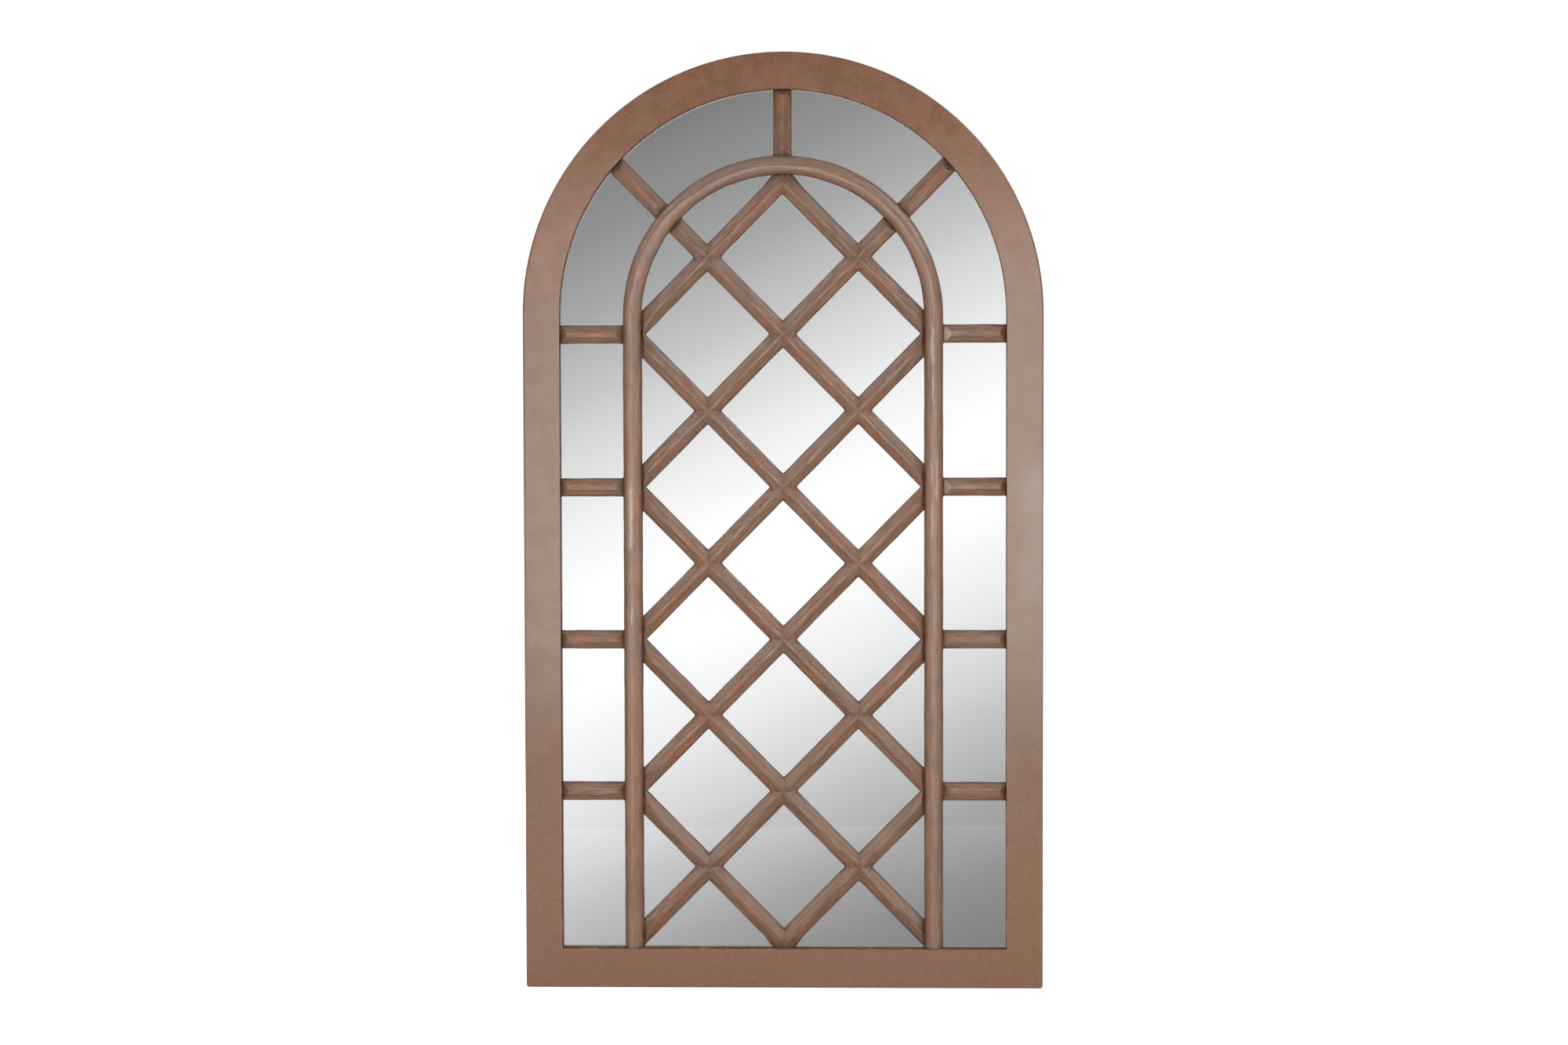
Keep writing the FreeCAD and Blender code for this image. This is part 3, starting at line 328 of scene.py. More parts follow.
def brush_streaks(tree, run, along, across):
    """Long thin streaks that follow a bar. The place holds the way along and across it."""

    def build(group, given):
        parts = parts_of(group, given["Place"])
        drawn = {
            0: times(group, parts[0], given["Along"]),
            1: times(group, parts[1], given["Across"]),
            2: parts[2],
        }
        run = put(group, "ShaderNodeCombineXYZ", drawn).outputs[0]
        streaks = span(group, noise(group, run, 1.0), 0.4, 0.64)
        return [streaks, span(group, noise(group, run, 2.3, 2.0, 0.5), 0.4, 0.62)]

    inputs = {"Place": run, "Along": along, "Across": across}
    return use_group(tree, "Brush Streaks", inputs, ["Streaks", "Hairlines"], build)


def arch_edge(tree, place, reach, foot):
    """Distance inwards from an upright arch's outline, such as the frame's or the opening's."""

    def build(group, given):
        parts = parts_of(group, given["Place"])
        rise = maths(group, "MAXIMUM", maths(group, "SUBTRACT", parts[2], given["Spring"]), 0.0)
        across = times(group, parts[0], parts[0])
        away = maths(group, "SQRT", maths(group, "MULTIPLY_ADD", rise, rise, across))
        side = maths(group, "SUBTRACT", given["Reach"], away)
        above = maths(group, "SUBTRACT", parts[2], given["Foot"])
        return [maths(group, "MINIMUM", side, above)]

    inputs = {"Place": place, "Reach": reach, "Spring": ARCH_SPRING, "Foot": foot}
    return use_group(tree, "Arch Outline", inputs, ["Inwards"], build)["Inwards"]


# ---------------------------------------------------------------- materials

SHADER_SOCKETS = {
    "colour": "Base Color",
    "roughness": "Roughness",
    "metallic": "Metallic",
    "specular": "Specular IOR Level",
    "transmission": "Transmission Weight",
    "refraction": "IOR",
    "normal": "Normal",
}

# Pale patches painted on the right stile as a sheen, a painted highlight: across, height and
# how much of the brown they hide. They are taller than wide.
PAINTED_SHEEN_PATCHES = ((0.388, 0.76, 0.32), (0.39, 0.65, 0.2))
PATCH_TALLNESS = 2.2

# Where the pale lip on the opening's wall begins and is full, just before the glass.
LIP_FRONT = GLASS_FRONT - 0.0018
LIP_BACK = GLASS_FRONT - 0.0004


def empty_tree(holder):
    """Clears a material's or a world's node tree."""
    holder.use_nodes = True
    holder.node_tree.nodes.clear()
    return holder.node_tree


def new_material(name):
    """A material with only its shader, its tree and the place on the object."""
    material = bpy.data.materials.new(name)
    tree = empty_tree(material)
    shader = put(tree, "ShaderNodeBsdfPrincipled")
    put(tree, "ShaderNodeOutputMaterial", {0: shader.outputs[0]})
    return material, tree, object_place(tree)


def feed(material, **sockets):
    """Gives the material's shader its inputs."""
    tree = material.node_tree
    inputs = {SHADER_SOCKETS[key]: value for key, value in sockets.items()}
    wire(tree, tree.nodes["Principled BSDF"], inputs)
    return material


def frame_paint_material(colours):
    """Satin brown paint on the flat frame, clouded, speckled and rubbed at its edges, with a pale
    sheen patch, a dulled middle height and a dark outer rim and opening walls, all painted light
    and shade.
    """
    material, tree, place = new_material("frame paint")
    clouds = clouding(tree, place, 7.0, 0.22)
    flecks = clouding(tree, place, 34.0, 0.2)
    specks = speckle(tree, place, 800.0)
    broken = noise(tree, place, 60.0, 3.0, 0.6)
    parts = parts_of(tree, place)
    depth, height = parts[1], parts[2]
    outer = arch_edge(tree, place, FRAME_REACH, 0.0)
    inner = arch_edge(tree, place, OPENING_REACH, RAIL_TOP)
    at_opening = maths(tree, "ABSOLUTE", inner)

    mottle = noise(tree, place, 240.0, 3.0, 0.7)
    grain = maths(tree, "MULTIPLY_ADD", mottle, 0.7, times(tree, specks["Fine"], 0.3))
    fine = span(tree, grain, 0.36, 0.64, 0.86, 1.14)
    tone = put(tree, "ShaderNodeCombineColor", {0: fine, 1: fine, 2: fine}).outputs[0]
    colour = layered(
        tree,
        colours.frame_brown,
        (clouds, 0.45, colours.frame_grey),
        (flecks, 0.35, colours.frame_red),
    )
    colour = blend(tree, 1.0, colour, tone, "MULTIPLY")
    colour = layered(tree, colour, (specks["Pips"], 0.25, colours.frame_grey))

    squeeze = {"Vector": place, "Scale": (PATCH_TALLNESS, 1.0, 1.0)}
    squeezed = put(tree, "ShaderNodeMapping", squeeze).outputs[0]
    # Painted highlight: each patch lays a pale colour where the sheen on the stile is brightest.
    for x, z, share in PAINTED_SHEEN_PATCHES:
        ends = {0: squeezed, 1: (x * PATCH_TALLNESS, FRAME_FRONT, z)}
        away = put(tree, "ShaderNodeVectorMath", ends, operation="DISTANCE").outputs["Value"]
        ragged = maths(tree, "MULTIPLY_ADD", clouds, 0.03, away)
        sheen_patch = span(tree, ragged, 0.11, 0.02)
        colour = layered(tree, colour, (sheen_patch, share, shade(196, 178, 168)))
    # Painted shade: the frame is dulled from 0.45 m to 0.95 m high, fading out by 0.15 m and 1.25
    # m, where the lamps and the sheen fall brightest.
    mid_height_shade = times(tree, span(tree, height, 0.15, 0.45), span(tree, height, 1.25, 0.95))

    # Painted shade round the outer rim, and a pale lip where the opening's wall meets the glass.
    rim = span(tree, maths(tree, "MULTIPLY_ADD", broken, 0.0016, outer), 0.0026, 0.0010)
    near_opening = span(tree, at_opening, 0.0012, 0.0004)
    ragged = maths(tree, "MULTIPLY_ADD", broken, 0.0012, depth)
    lip = times(tree, near_opening, span(tree, ragged, LIP_FRONT, LIP_BACK))

    # The opening's walls get painted shade, darker than the face, and are rubbed here and there at
    # their edge.
    at_wall = maths(tree, "MINIMUM", at_opening, maths(tree, "ABSOLUTE", outer))
    behind = span(tree, depth, FRAME_FRONT + 0.0002, FRAME_FRONT + 0.0012)
    wall = times(tree, span(tree, at_wall, 0.0006, 0.0002), behind)
    shaded = times(tree, wall, span(tree, outer, 0.0006, 0.0012))
    wear_and_highlight = span(tree, maths(tree, "ADD", flecks, broken), 1.15, 1.5)
    colour = layered(
        tree,
        colour,
        (mid_height_shade, 0.45, colours.mid_height_shade),
        (rim, 0.75, colours.wax_and_painted_shade),
        (lip, 0.8, colours.raw_edge),
        (shaded, 0.35, colours.wax_and_painted_shade),
        (times(tree, near_opening, wear_and_highlight), 0.3, colours.raw_edge),
    )
    satin = span(tree, flecks, 0.0, 1.0, 0.24, 0.34)
    return feed(
        material,
        colour=colour,
        roughness=maths(tree, "MULTIPLY_ADD", wall, 0.55, satin),
        specular=0.55,
        normal=bumped(tree, grain, 0.25, 0.0004),
    )


def carved_material(name, colours, crest_share, streak_share, crackle, shine):
    """Stained and waxed moulding: warm flanks, a pale ridge and paler upper sides painted as
    highlights, and dark corners and sides of wax and painted shade.
    """
    material, tree, place = new_material(name)
    clouds = clouding(tree, place, 26.0, 0.14)
    brushed = brush_streaks(tree, painted(tree, "bar_run", "Vector"), 16.0, 240.0)
    streaks, hairlines = brushed["Streaks"], brushed["Hairlines"]
    corner = painted(tree, "corner_wax_and_shade")

    # Painted highlight: the sides that face up are made paler in soft clouds, as if lit from above.
    upwards = parts_of(tree, put(tree, "ShaderNodeNewGeometry").outputs["Normal"])[2]
    top_light_share = span(tree, clouds, 0.0, 1.0, 0.4, 0.28)
    painted_top_light = times(tree, span(tree, upwards, 0.08, 0.5), top_light_share)
    # Painted highlight: the crest is made paler, broken up by the streaks.
    rubbed = times(tree, painted(tree, "crest_highlight"), span(tree, streaks, 0.0, 0.6, 0.45, 1.0))
    patchy = span(tree, noise(tree, place, 90.0, 3.0, 0.6), 0.3, 0.65, 0.55, 1.1)
    foot = maths(tree, "MULTIPLY_ADD", clouds, 0.3, painted(tree, "foot_pale"))

    # Fine cracks in the filler, and flakes of paint gone along the pale streaks, which on the
    # hoop's legs are painted highlights.
    crack = cells(tree, place, 420.0, "DISTANCE_TO_EDGE")["Distance"]
    flakes_and_highlight = times(tree, span(tree, crack, 0.02, 0.2, 0.35, 1.0), painted(tree, "wear_and_highlight_streak"))
    colour = layered(
        tree,
        colours.bar_brown,
        (clouds, 1.0, colours.bar_orange),
        (streaks, streak_share, colours.bar_pale_and_highlight),
        (painted_top_light, 1.0, colours.dust_and_painted_top_light),
        (hairlines, 0.3, colours.wax_and_painted_shade),
        (rubbed, crest_share, colours.bar_pale_and_highlight),
        # Dark wax and painted shade in the corners, broken up in patches.
        (times(tree, corner, patchy), 0.85, colours.wax_and_painted_shade),
        # Painted shade: the upright sides are darkened.
        (painted(tree, "painted_side_shade"), 0.5, colours.wax_and_painted_shade),
        (span(tree, foot, 0.55, 0.9), 0.85, colours.raw_edge),
        (flakes_and_highlight, 1.0, colours.filler_and_highlight),
    )
    height = times(tree, span(tree, crack, 0.0, 0.16), crackle)
    height = maths(tree, "MULTIPLY_ADD", streaks, 0.5, height)
    height = maths(tree, "MULTIPLY_ADD", speckle(tree, place, 700.0)["Fine"], 0.15, height)
    satin = span(tree, hairlines, 0.0, 1.0, 0.26, 0.38)
    return feed(
        material,
        colour=colour,
        roughness=maths(tree, "MULTIPLY_ADD", corner, 0.2, satin),
        specular=shine,
        normal=bumped(tree, height, 0.45, 0.0005),
    )


def glass_material():
    """Clear float glass with the faintest dusting."""
    material, tree, place = new_material("float glass")
    haze = clouding(tree, place, 4.0, 0.3)
    colour = blend(tree, haze, shade(255, 255, 255), shade(253, 254, 254))
    return feed(
        material, colour=colour, roughness=0.0, specular=0.02, transmission=1.0, refraction=1.5
    )


def mirror_material():
    """Silver film behind the glass, very slightly clouded."""
    material, tree, place = new_material("silvering")
    haze = clouding(tree, place, 3.0, 0.3)
    return feed(
        material,
        colour=blend(tree, haze, shade(252, 252, 252), shade(250, 250, 250)),
        metallic=1.0,
        roughness=span(tree, haze, 0.0, 1.0, 0.004, 0.012),
    )


def hardboard_material(colours):
    """Pressed fibre board with a mesh-marked rough side."""
    material, tree, place = new_material("hardboard")
    clouds = clouding(tree, place, 9.0, 0.25)
    fibres = noise(tree, place, 420.0, 5.0, 0.75, Distortion=0.8)
    flecks = span(tree, noise(tree, place, 160.0, 2.0, 0.5), 0.58, 0.7)
    darker = tuple(0.8 * part for part in colours.hardboard)
    colour = layered(
        tree,
        colours.hardboard,
        (clouds, 1.0, darker),
        (flecks, 0.35, shade(176, 142, 104)),
        (span(tree, fibres, 0.6, 0.35), 0.35, shade(74, 50, 34)),
    )
    parts = parts_of(tree, place)
    waves = [maths(tree, "SINE", times(tree, part, 3700.0)) for part in (parts[0], parts[2])]
    mesh = times(tree, maths(tree, "MAXIMUM", *waves), 0.3)
    return feed(
        material,
        colour=colour,
        roughness=span(tree, fibres, 0.3, 0.7, 0.72, 0.88),
        specular=0.3,
        normal=bumped(tree, maths(tree, "ADD", mesh, fibres), 0.5, 0.0003),
    )


def foam_material():
    """Thin pale polyethylene foam."""
    material, tree, place = new_material("foam")
    bubbles = cells(tree, place, 600.0)["Distance"]
    tone = span(tree, bubbles, 0.0, 0.7)
    return feed(
        material,
        colour=blend(tree, tone, shade(236, 236, 232), shade(206, 206, 202)),
        roughness=0.85,
        normal=bumped(tree, bubbles, 0.4, 0.0003),
    )


def plated_material(name, colour, grain_scale, rough):
    """Plated steel: small spangles, fine scratches and dulled patches."""
    material, tree, place = new_material(name)
    spangle = cells(tree, place, grain_scale)["Color"]
    spots = put(tree, "ShaderNodeSeparateColor", {0: spangle}).outputs[0]
    dull = clouding(tree, place, 120.0, 0.2)
    darker = tuple(0.72 * part for part in colour)
    return feed(
        material,
        colour=layered(tree, colour, (spots, 0.35, darker), (dull, 0.25, shade(126, 122, 114))),
        metallic=1.0,
        roughness=maths(tree, "MULTIPLY_ADD", dull, 0.15, rough),
        normal=bumped(tree, noise(tree, place, 1500.0, 2.0), 0.06, 0.0001),
    )


def rubber_material(colours):
    """Moulded bumper rubber with a light dusting."""
    material, tree, place = new_material("bumper rubber")
    dust_and_painted_top_light = clouding(tree, place, 300.0, 0.2)
    return feed(
        material,
        colour=layered(tree, colours.rubber, (dust_and_painted_top_light, 0.25, shade(120, 116, 110))),
        roughness=span(tree, dust_and_painted_top_light, 0.0, 1.0, 0.5, 0.72),
        normal=bumped(tree, noise(tree, place, 1800.0), 0.1, 0.0002),
    )


def dowel_material():
    """Fluted beech."""
    material, tree, place = new_material("dowel beech")
    stretch = {"Vector": place, "Scale": (900.0, 900.0, 60.0)}
    grain = noise(tree, put(tree, "ShaderNodeMapping", stretch).outputs[0], 1.0)
    tone = span(tree, grain, 0.35, 0.65)
    return feed(
        material,
        colour=blend(tree, tone, shade(214, 178, 136), shade(186, 146, 104)),
        roughness=0.62,
        normal=bumped(tree, grain, 0.2, 0.0002),
    )


def dress(node, material):
    """Gives a node of the frame its finish."""
    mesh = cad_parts[node].data
    mesh.materials.clear()
    mesh.materials.append(material)


# ---------------------------------------------------------------- carved pieces

# Places across a bar, from one side to the other. The outermost two are its side.
ACROSS = np.array([-1.0, -0.975, -0.92, -0.78, -0.6, -0.44, -0.31, -0.22, -0.15, -0.08, 0.0])
ACROSS = np.concatenate([ACROSS, -ACROSS[-2::-1]])

# A bar's end is meshed finely over this length, and found to this step.
TIP_LENGTH = 0.013
SEARCH_STEP = 0.0002

# Shapes of the ridged bars: hip length beside the given one, roundness of the flanks and of
# the ridge, half width of its flat top and of its painted crest highlight beside the bar's half
# width.
LATTICE_SHAPE = {"hip": 1.0, "fullness": 1.08, "softness": 0.05, "flat": 0.1, "crest": 0.2}
MUNTIN_SHAPE = {"hip": 1.4, "fullness": 1.3, "softness": 0.06, "flat": 0.2, "crest": 0.3}

# Border bars whose hip at the hoop is rubbed down to the filler, and how far.
SCUFFED_HIPS = {"muntin_right_4": 0.95, "muntin_right_3": 0.6, "muntin_right_2": 0.15}

# Stretches of the hoop's legs with pale crackled streaks along the crest, painted highlights:
# on the left leg or not, lowest and highest point, place across the leg and half width across it.
HIGHLIGHT_STREAKS = (
    (True, 0.675, 0.786, 0.17, 0.2),
    (True, 0.56, 0.6, 0.1, 0.1),
    (False, 0.96, 1.035, -0.17, 0.13),
    (False, 0.9, 0.955, -0.1, 0.08),
    (False, 0.775, 0.825, -0.22, 0.08),
    (False, 0.75, 0.83, 0.3, 0.09),
    (False, 0.69, 0.76, -0.2, 0.07),
)


def wander(way, seed, waves):
    """A smooth uneven line, between about -1 and 1: a sum of waves of the given lengths."""
    total = np.zeros_like(way)
    for index, length in enumerate(waves):
        start = 1.7 * seed + 2.3 * index
        total += np.sin(2 * math.pi * way / length + start) * (0.8**index)
    return total / sum(0.8**index for index in range(len(waves)))


def soft_step(value, start, end):
    part = np.clip((value - start) / (end - start), 0.0, 1.0)
    return part * part * (3 - 2 * part)


def bell(away, reach, power=2):
    """1 in the middle, falling off at about the reach."""
    return np.exp(-((away / reach) ** power))


def from_arch(x, z, spring):
    """Distance from an arch's middle line below its spring, or from its centre above it."""
    rise = np.maximum(z - spring, 0.0)
    return np.sqrt(x * x + rise * rise)


def inside_hoop(x, z):
    """Distance from the hoop's inner outline, above zero inside it."""
    return HOOP_INNER - from_arch(x, z, HOOP_SPRING)


def in_border(x, z):
    """Distance inwards from the edges of the border between the hoop and the frame."""
    past_hoop = from_arch(x, z, HOOP_SPRING) - HOOP_OUTER
    return past_hoop, OPENING_REACH - from_arch(x, z, ARCH_SPRING)


def fillet_flare(away, radius):
    """How much wider a bar is at that distance from what it is glued to."""
    gap = np.clip(radius - away, 0.0, radius)
    return radius - np.sqrt(radius * radius - gap * gap)


def add_piece(name, mesh, material, sharp_angle=None):
    """Puts a mesh that stands for a piece of the mirror in the scene, smooth but for edges
    sharper than the angle."""
    if sharp_angle is not None:
        mesh.polygons.foreach_set("use_smooth", [True] * len(mesh.polygons))
        mesh.set_sharp_from_angle(angle=math.radians(sharp_angle))
    mesh.materials.append(material)
    piece = bpy.data.objects.new(name, mesh)
    bpy.context.scene.collection.objects.link(piece)
    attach(piece, "frame")
    return piece


def solid_from_rows(name, points, runs, masks, material):
    """A closed body from rows of points across a bar. Its foot stands on the glass."""

    def framed(values):
        return np.concatenate([values[:, :1], values, values[:, -1:]], axis=1)

    grid = framed(points)
    grid[:, [0, -1], 1] = GLASS_FRONT
    count, wide = grid.shape[:2]
    index = np.arange(count * wide).reshape(count, wide)
    corners = [index[:-1, :-1], index[1:, :-1], index[1:, 1:], index[:-1, 1:]]
    quads = np.stack(corners, axis=-1).reshape(-1, 4)
    under = np.stack([index[:-1, -1], index[1:, -1], index[1:, 0], index[:-1, 0]], axis=-1)
    ends = [index[0].tolist(), index[-1, ::-1].tolist()]
    mesh = bpy.data.meshes.new(name)
    mesh.from_pydata(grid.reshape(-1, 3).tolist(), [], quads.tolist() + under.tolist() + ends)
    run = mesh.attributes.new("bar_run", "FLOAT_VECTOR", "POINT")
    run.data.foreach_set("vector", framed(runs).reshape(-1).astype(np.float32))
    feet = np.zeros(grid.shape[:2])
    feet[:, [0, -1]] = 1.0
    tables = {key: framed(values) for key, values in masks.items()}
    for key, values in {**tables, "foot_pale": feet}.items():
        mask = mesh.attributes.new(key, "FLOAT", "POINT")
        mask.data.foreach_set("value", values.reshape(-1).astype(np.float32))
    mesh.update()
    if sum(face.area * face.normal.y for face in mesh.polygons[: len(quads)]) > 0:
        mesh.flip_normals()
    return add_piece(name, mesh, material, 50)


def spread_places(begin, end, centres, reach, fine, coarse):
    """Places from begin to end, close together within reach of the centres."""
    places = [begin]
    while places[-1] < end:
        near = any(abs(places[-1] - centre) < reach for centre in centres)
        places.append(places[-1] + (fine if near else coarse))
    return np.array(places[:-1]) if len(places) > 2 else np.array([(begin + end) / 2])


def line_rows(bar, at, spacing):
    """Rows of places along a straight bar: for each place across, the part that is allowed.
    Rows are close together at the ends and at the crossings."""
    search = np.arange(-bar.reach, bar.reach, SEARCH_STEP)
    free = [search[bar.allowed(*at(search, side))] for side in ACROSS * bar.half]
    starts = np.array([part.min() for part in free])
    ends = np.array([part.max() for part in free])
    fine = spacing / 2.5
    tip = np.arange(0.0, TIP_LENGTH, fine)
    begin = starts.max() + tip[-1] + spacing / 2
    end = ends.min() - tip[-1] - spacing / 2
    if end - begin < 2 * spacing:
        count = int((ends - starts).max() / fine) + 1
        return starts + np.linspace(0.0, 1.0, count)[:, None] * (ends - starts)
    reach = bar.half + 0.004
    rows = spread_places(begin, end, bar.crossings, reach, spacing / 2, spacing * 1.8)
    inner = np.broadcast_to(rows[:, None], (len(rows), len(starts)))
    return np.concatenate([starts + tip[:, None], inner, ends - tip[::-1, None]])


def carve_bar(bar, sizes, material, seed):
    """One ridged bar along a straight line, with hips at its ends and dips at crossings."""
    along = np.array(bar.direction) / np.linalg.norm(bar.direction)
    half, edge = bar.half, sizes.bar_edge

    def at(way, side):
        x = bar.start[0] + way * along[0] - side * along[1]
        return x, bar.start[1] + way * along[1] + side * along[0]

    way = line_rows(bar, at, sizes.spacing)
    tau = np.broadcast_to(ACROSS[None, :], way.shape)
    off = np.abs(tau)
    ends = bar.away(*at(way, tau * half))
    widen = fillet_flare(ends, sizes.fillet)
    # Dark wax and painted shade: darker towards the ends, along the valleys and round each
    # crossing, where the neighbouring bars shade the bar.
    corner = np.maximum(bell(np.maximum(ends, 0.0), 0.004), 0.45 * np.exp(-ends / 0.012))
    dip = np.zeros_like(way)
    for crossing in bar.crossings:
        ahead = np.abs(way - crossing)
        widen = np.maximum(widen, fillet_flare(np.maximum(ahead - half, 0.0), sizes.fillet))
        dip = np.maximum(dip, bell(ahead, 0.008))
        valley = bell(ahead - off * half, 0.0013) * (0.35 + 0.6 * off) * (ahead < half + 0.003)
        shadow = 0.75 * soft_step(ahead, half + 0.016, half) * off**3
        heart = 0.4 * bell(np.hypot(ahead, tau * half), 0.011)
        corner = np.maximum.reduce([corner, valley, shadow, heart])

    uneven = wander(way, seed, (0.19, 0.083, 0.041))
    small = wander(way + 0.013 * tau, seed + 5, (0.029, 0.017, 0.011))
    lean = 0.07 * wander(way, seed + 9, (0.15, 0.06, 0.033))
    soft, flat = bar.softness, bar.flat
    ridge = np.maximum(np.abs(tau - lean * (1 - off)) - flat, 0.0) / (1 - flat)
    ridge = np.sqrt(ridge**2 + soft * soft) - soft
    ridge = np.clip(ridge / (math.hypot(1.0, soft) - soft), 0.0, 1.0)
    top = bar.height - sizes.ripple * (1 - uneven) - dip * sizes.crossing_dip
    rise = edge + (top - edge) * (1 - ridge**bar.fullness)
    rise = rise - 0.25 * sizes.ripple * (1 - small) * (1 - off**4)
    hip = edge + np.maximum(ends, 0.0) * (bar.height - edge) / (sizes.hip * bar.hip)
    rounding = 0.0003
    mix = np.clip(0.5 + 0.5 * (hip - rise) / rounding, 0.0, 1.0)
    rise = hip * (1 - mix) + rise * mix - rounding * mix * (1 - mix) * 0.5
    rise = np.maximum(rise, edge) - np.where(off > 0.97, 0.0004, 0.0)
    x, z = at(way, tau * (half + widen + 0.0002 * wander(way, seed + 3, (0.12, 0.05))))

    # Painted highlight: a pale band along the crest, fading at the ends and at the crossings.
    crest = bell(tau - lean, bar.crest, 4) * soft_step(ends, 0.004, 0.013)
    crest = crest * (0.65 + 0.35 * uneven)
    for crossing in bar.crossings:
        crest = crest * (0.25 + 0.75 * soft_step(np.abs(way - crossing), 0.002, 0.014))
    fold = bell(tau - lean, 0.09) * soft_step(uneven, 0.0, 0.6) * soft_step(ends, 0.004, 0.012)
    groove = bell(np.abs(tau - lean) - 0.42, 0.13) * (0.5 + 0.5 * small)
    scuffed = (1 - mix) * soft_step(off, 0.8, 0.6) * soft_step(ends, 0.001, 0.0024)
    scuffed = scuffed * (way < way.mean()) * SCUFFED_HIPS.get(bar.node, 0.0)
    masks = {
        "corner_wax_and_shade": np.clip(np.maximum(corner, 0.3 * groove) * (1 - scuffed), 0, 1),
        "wear_and_highlight_streak": np.maximum(scuffed, 0.22 * fold),
        "crest_highlight": np.clip(crest, 0, 1),
        # Painted shade on the upright sides.
        "painted_side_shade": soft_step(off, 0.88, 0.99),
    }
    points = np.stack([x, GLASS_FRONT - rise, z], axis=-1)
    runs = np.stack([way, tau * half, np.full_like(way, 3.1 * seed)], axis=-1)
    piece = solid_from_rows(bar.node + "_carved", points, runs, masks, material)
    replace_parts(piece, bar.node)
    return piece


def lattice_slope(sizes):
    return (ROW_STEP / 2) / sizes.column_reach


def crossings_on(number, sizes):
    """Ways along a lattice bar, from its row on the middle line, to what it crosses there."""
    slope = lattice_slope(sizes)
    step = sizes.column_reach * math.hypot(1.0, slope)
    first = 0 if number == 0 else -5
    last = 0 if number == APEX_ROW else 5
    kept = []
    for column in range(first, last + 1):
        x = column * sizes.column_reach
        z = row_height(number) + slope * x
        if inside_hoop(x, z) > HOOP_TUCK and z > RAIL_TOP:
            kept.append(column * step)
    return kept


def make_lattice(sizes, material):
    """Twelve bars, two from each row. The foot's and the apex's are half length."""

    def away(x, z):
        return np.minimum(inside_hoop(x, z), 0.5 * (z - RAIL_TOP) + HOOP_TUCK)

    for number in range(APEX_ROW + 1):
        for turn, side in (("rise", 1), ("fall", -1)):

            def allowed(x, z, side=side, number=number):
                free = (inside_hoop(x, z) > -HOOP_TUCK) & (z > RAIL_TOP - RAIL_TUCK)
                if number == 0:
                    free = free & (side * x > -0.0001)
                if number == APEX_ROW:
                    free = free & (side * x < 0.0001)
                return free

            bar = SimpleNamespace(
                node=f"lattice_{turn}_{number + 1}",
                start=(0.0, row_height(number)),
                direction=(side, lattice_slope(sizes)),
                reach=0.62,
                allowed=allowed,
                away=away,
                crossings=crossings_on(number, sizes),
                half=sizes.lattice_width / 2,
                height=LATTICE_HEIGHT,
                **LATTICE_SHAPE,
            )
            carve_bar(bar, sizes, material, number * 2 + (side > 0))


def make_muntins(sizes, material):
    """Eleven short bars across the border: level ones, two slanted ones and the top one."""

    def away(x, z):
        return np.minimum(*in_border(x, z))

    bars = [("top", HOOP_SPRING, (0.0, 1.0), lambda x, z: z > HOOP_SPRING)]
    for turn, side in (("left", -1), ("right", 1)):

        def wanted(x, z, side=side):
            return side * x > 0

        for number in range(1, APEX_ROW):
            bars.append((f"{turn}_{number}", row_height(number), (side, 0.0), wanted))
        slanted = (side, lattice_slope(sizes))
        bars.append((f"diagonal_{turn}", row_height(APEX_ROW - 1), slanted, wanted))
    for index, (label, row, direction, wanted) in enumerate(bars):

        def allowed(x, z, wanted=wanted):
            past_hoop, short_of_frame = in_border(x, z)
            return (past_hoop > -HOOP_TUCK) & (short_of_frame > -FRAME_TUCK) & wanted(x, z)

        bar = SimpleNamespace(
            node="muntin_" + label,
            start=(0.0, row),
            direction=direction,
            reach=0.5,
            allowed=allowed,
            away=away,
            crossings=[],
            half=MUNTIN_WIDTH / 2,
            height=MUNTIN_HEIGHT,
            **MUNTIN_SHAPE,
        )
        carve_bar(bar, sizes, material, 20 + index)


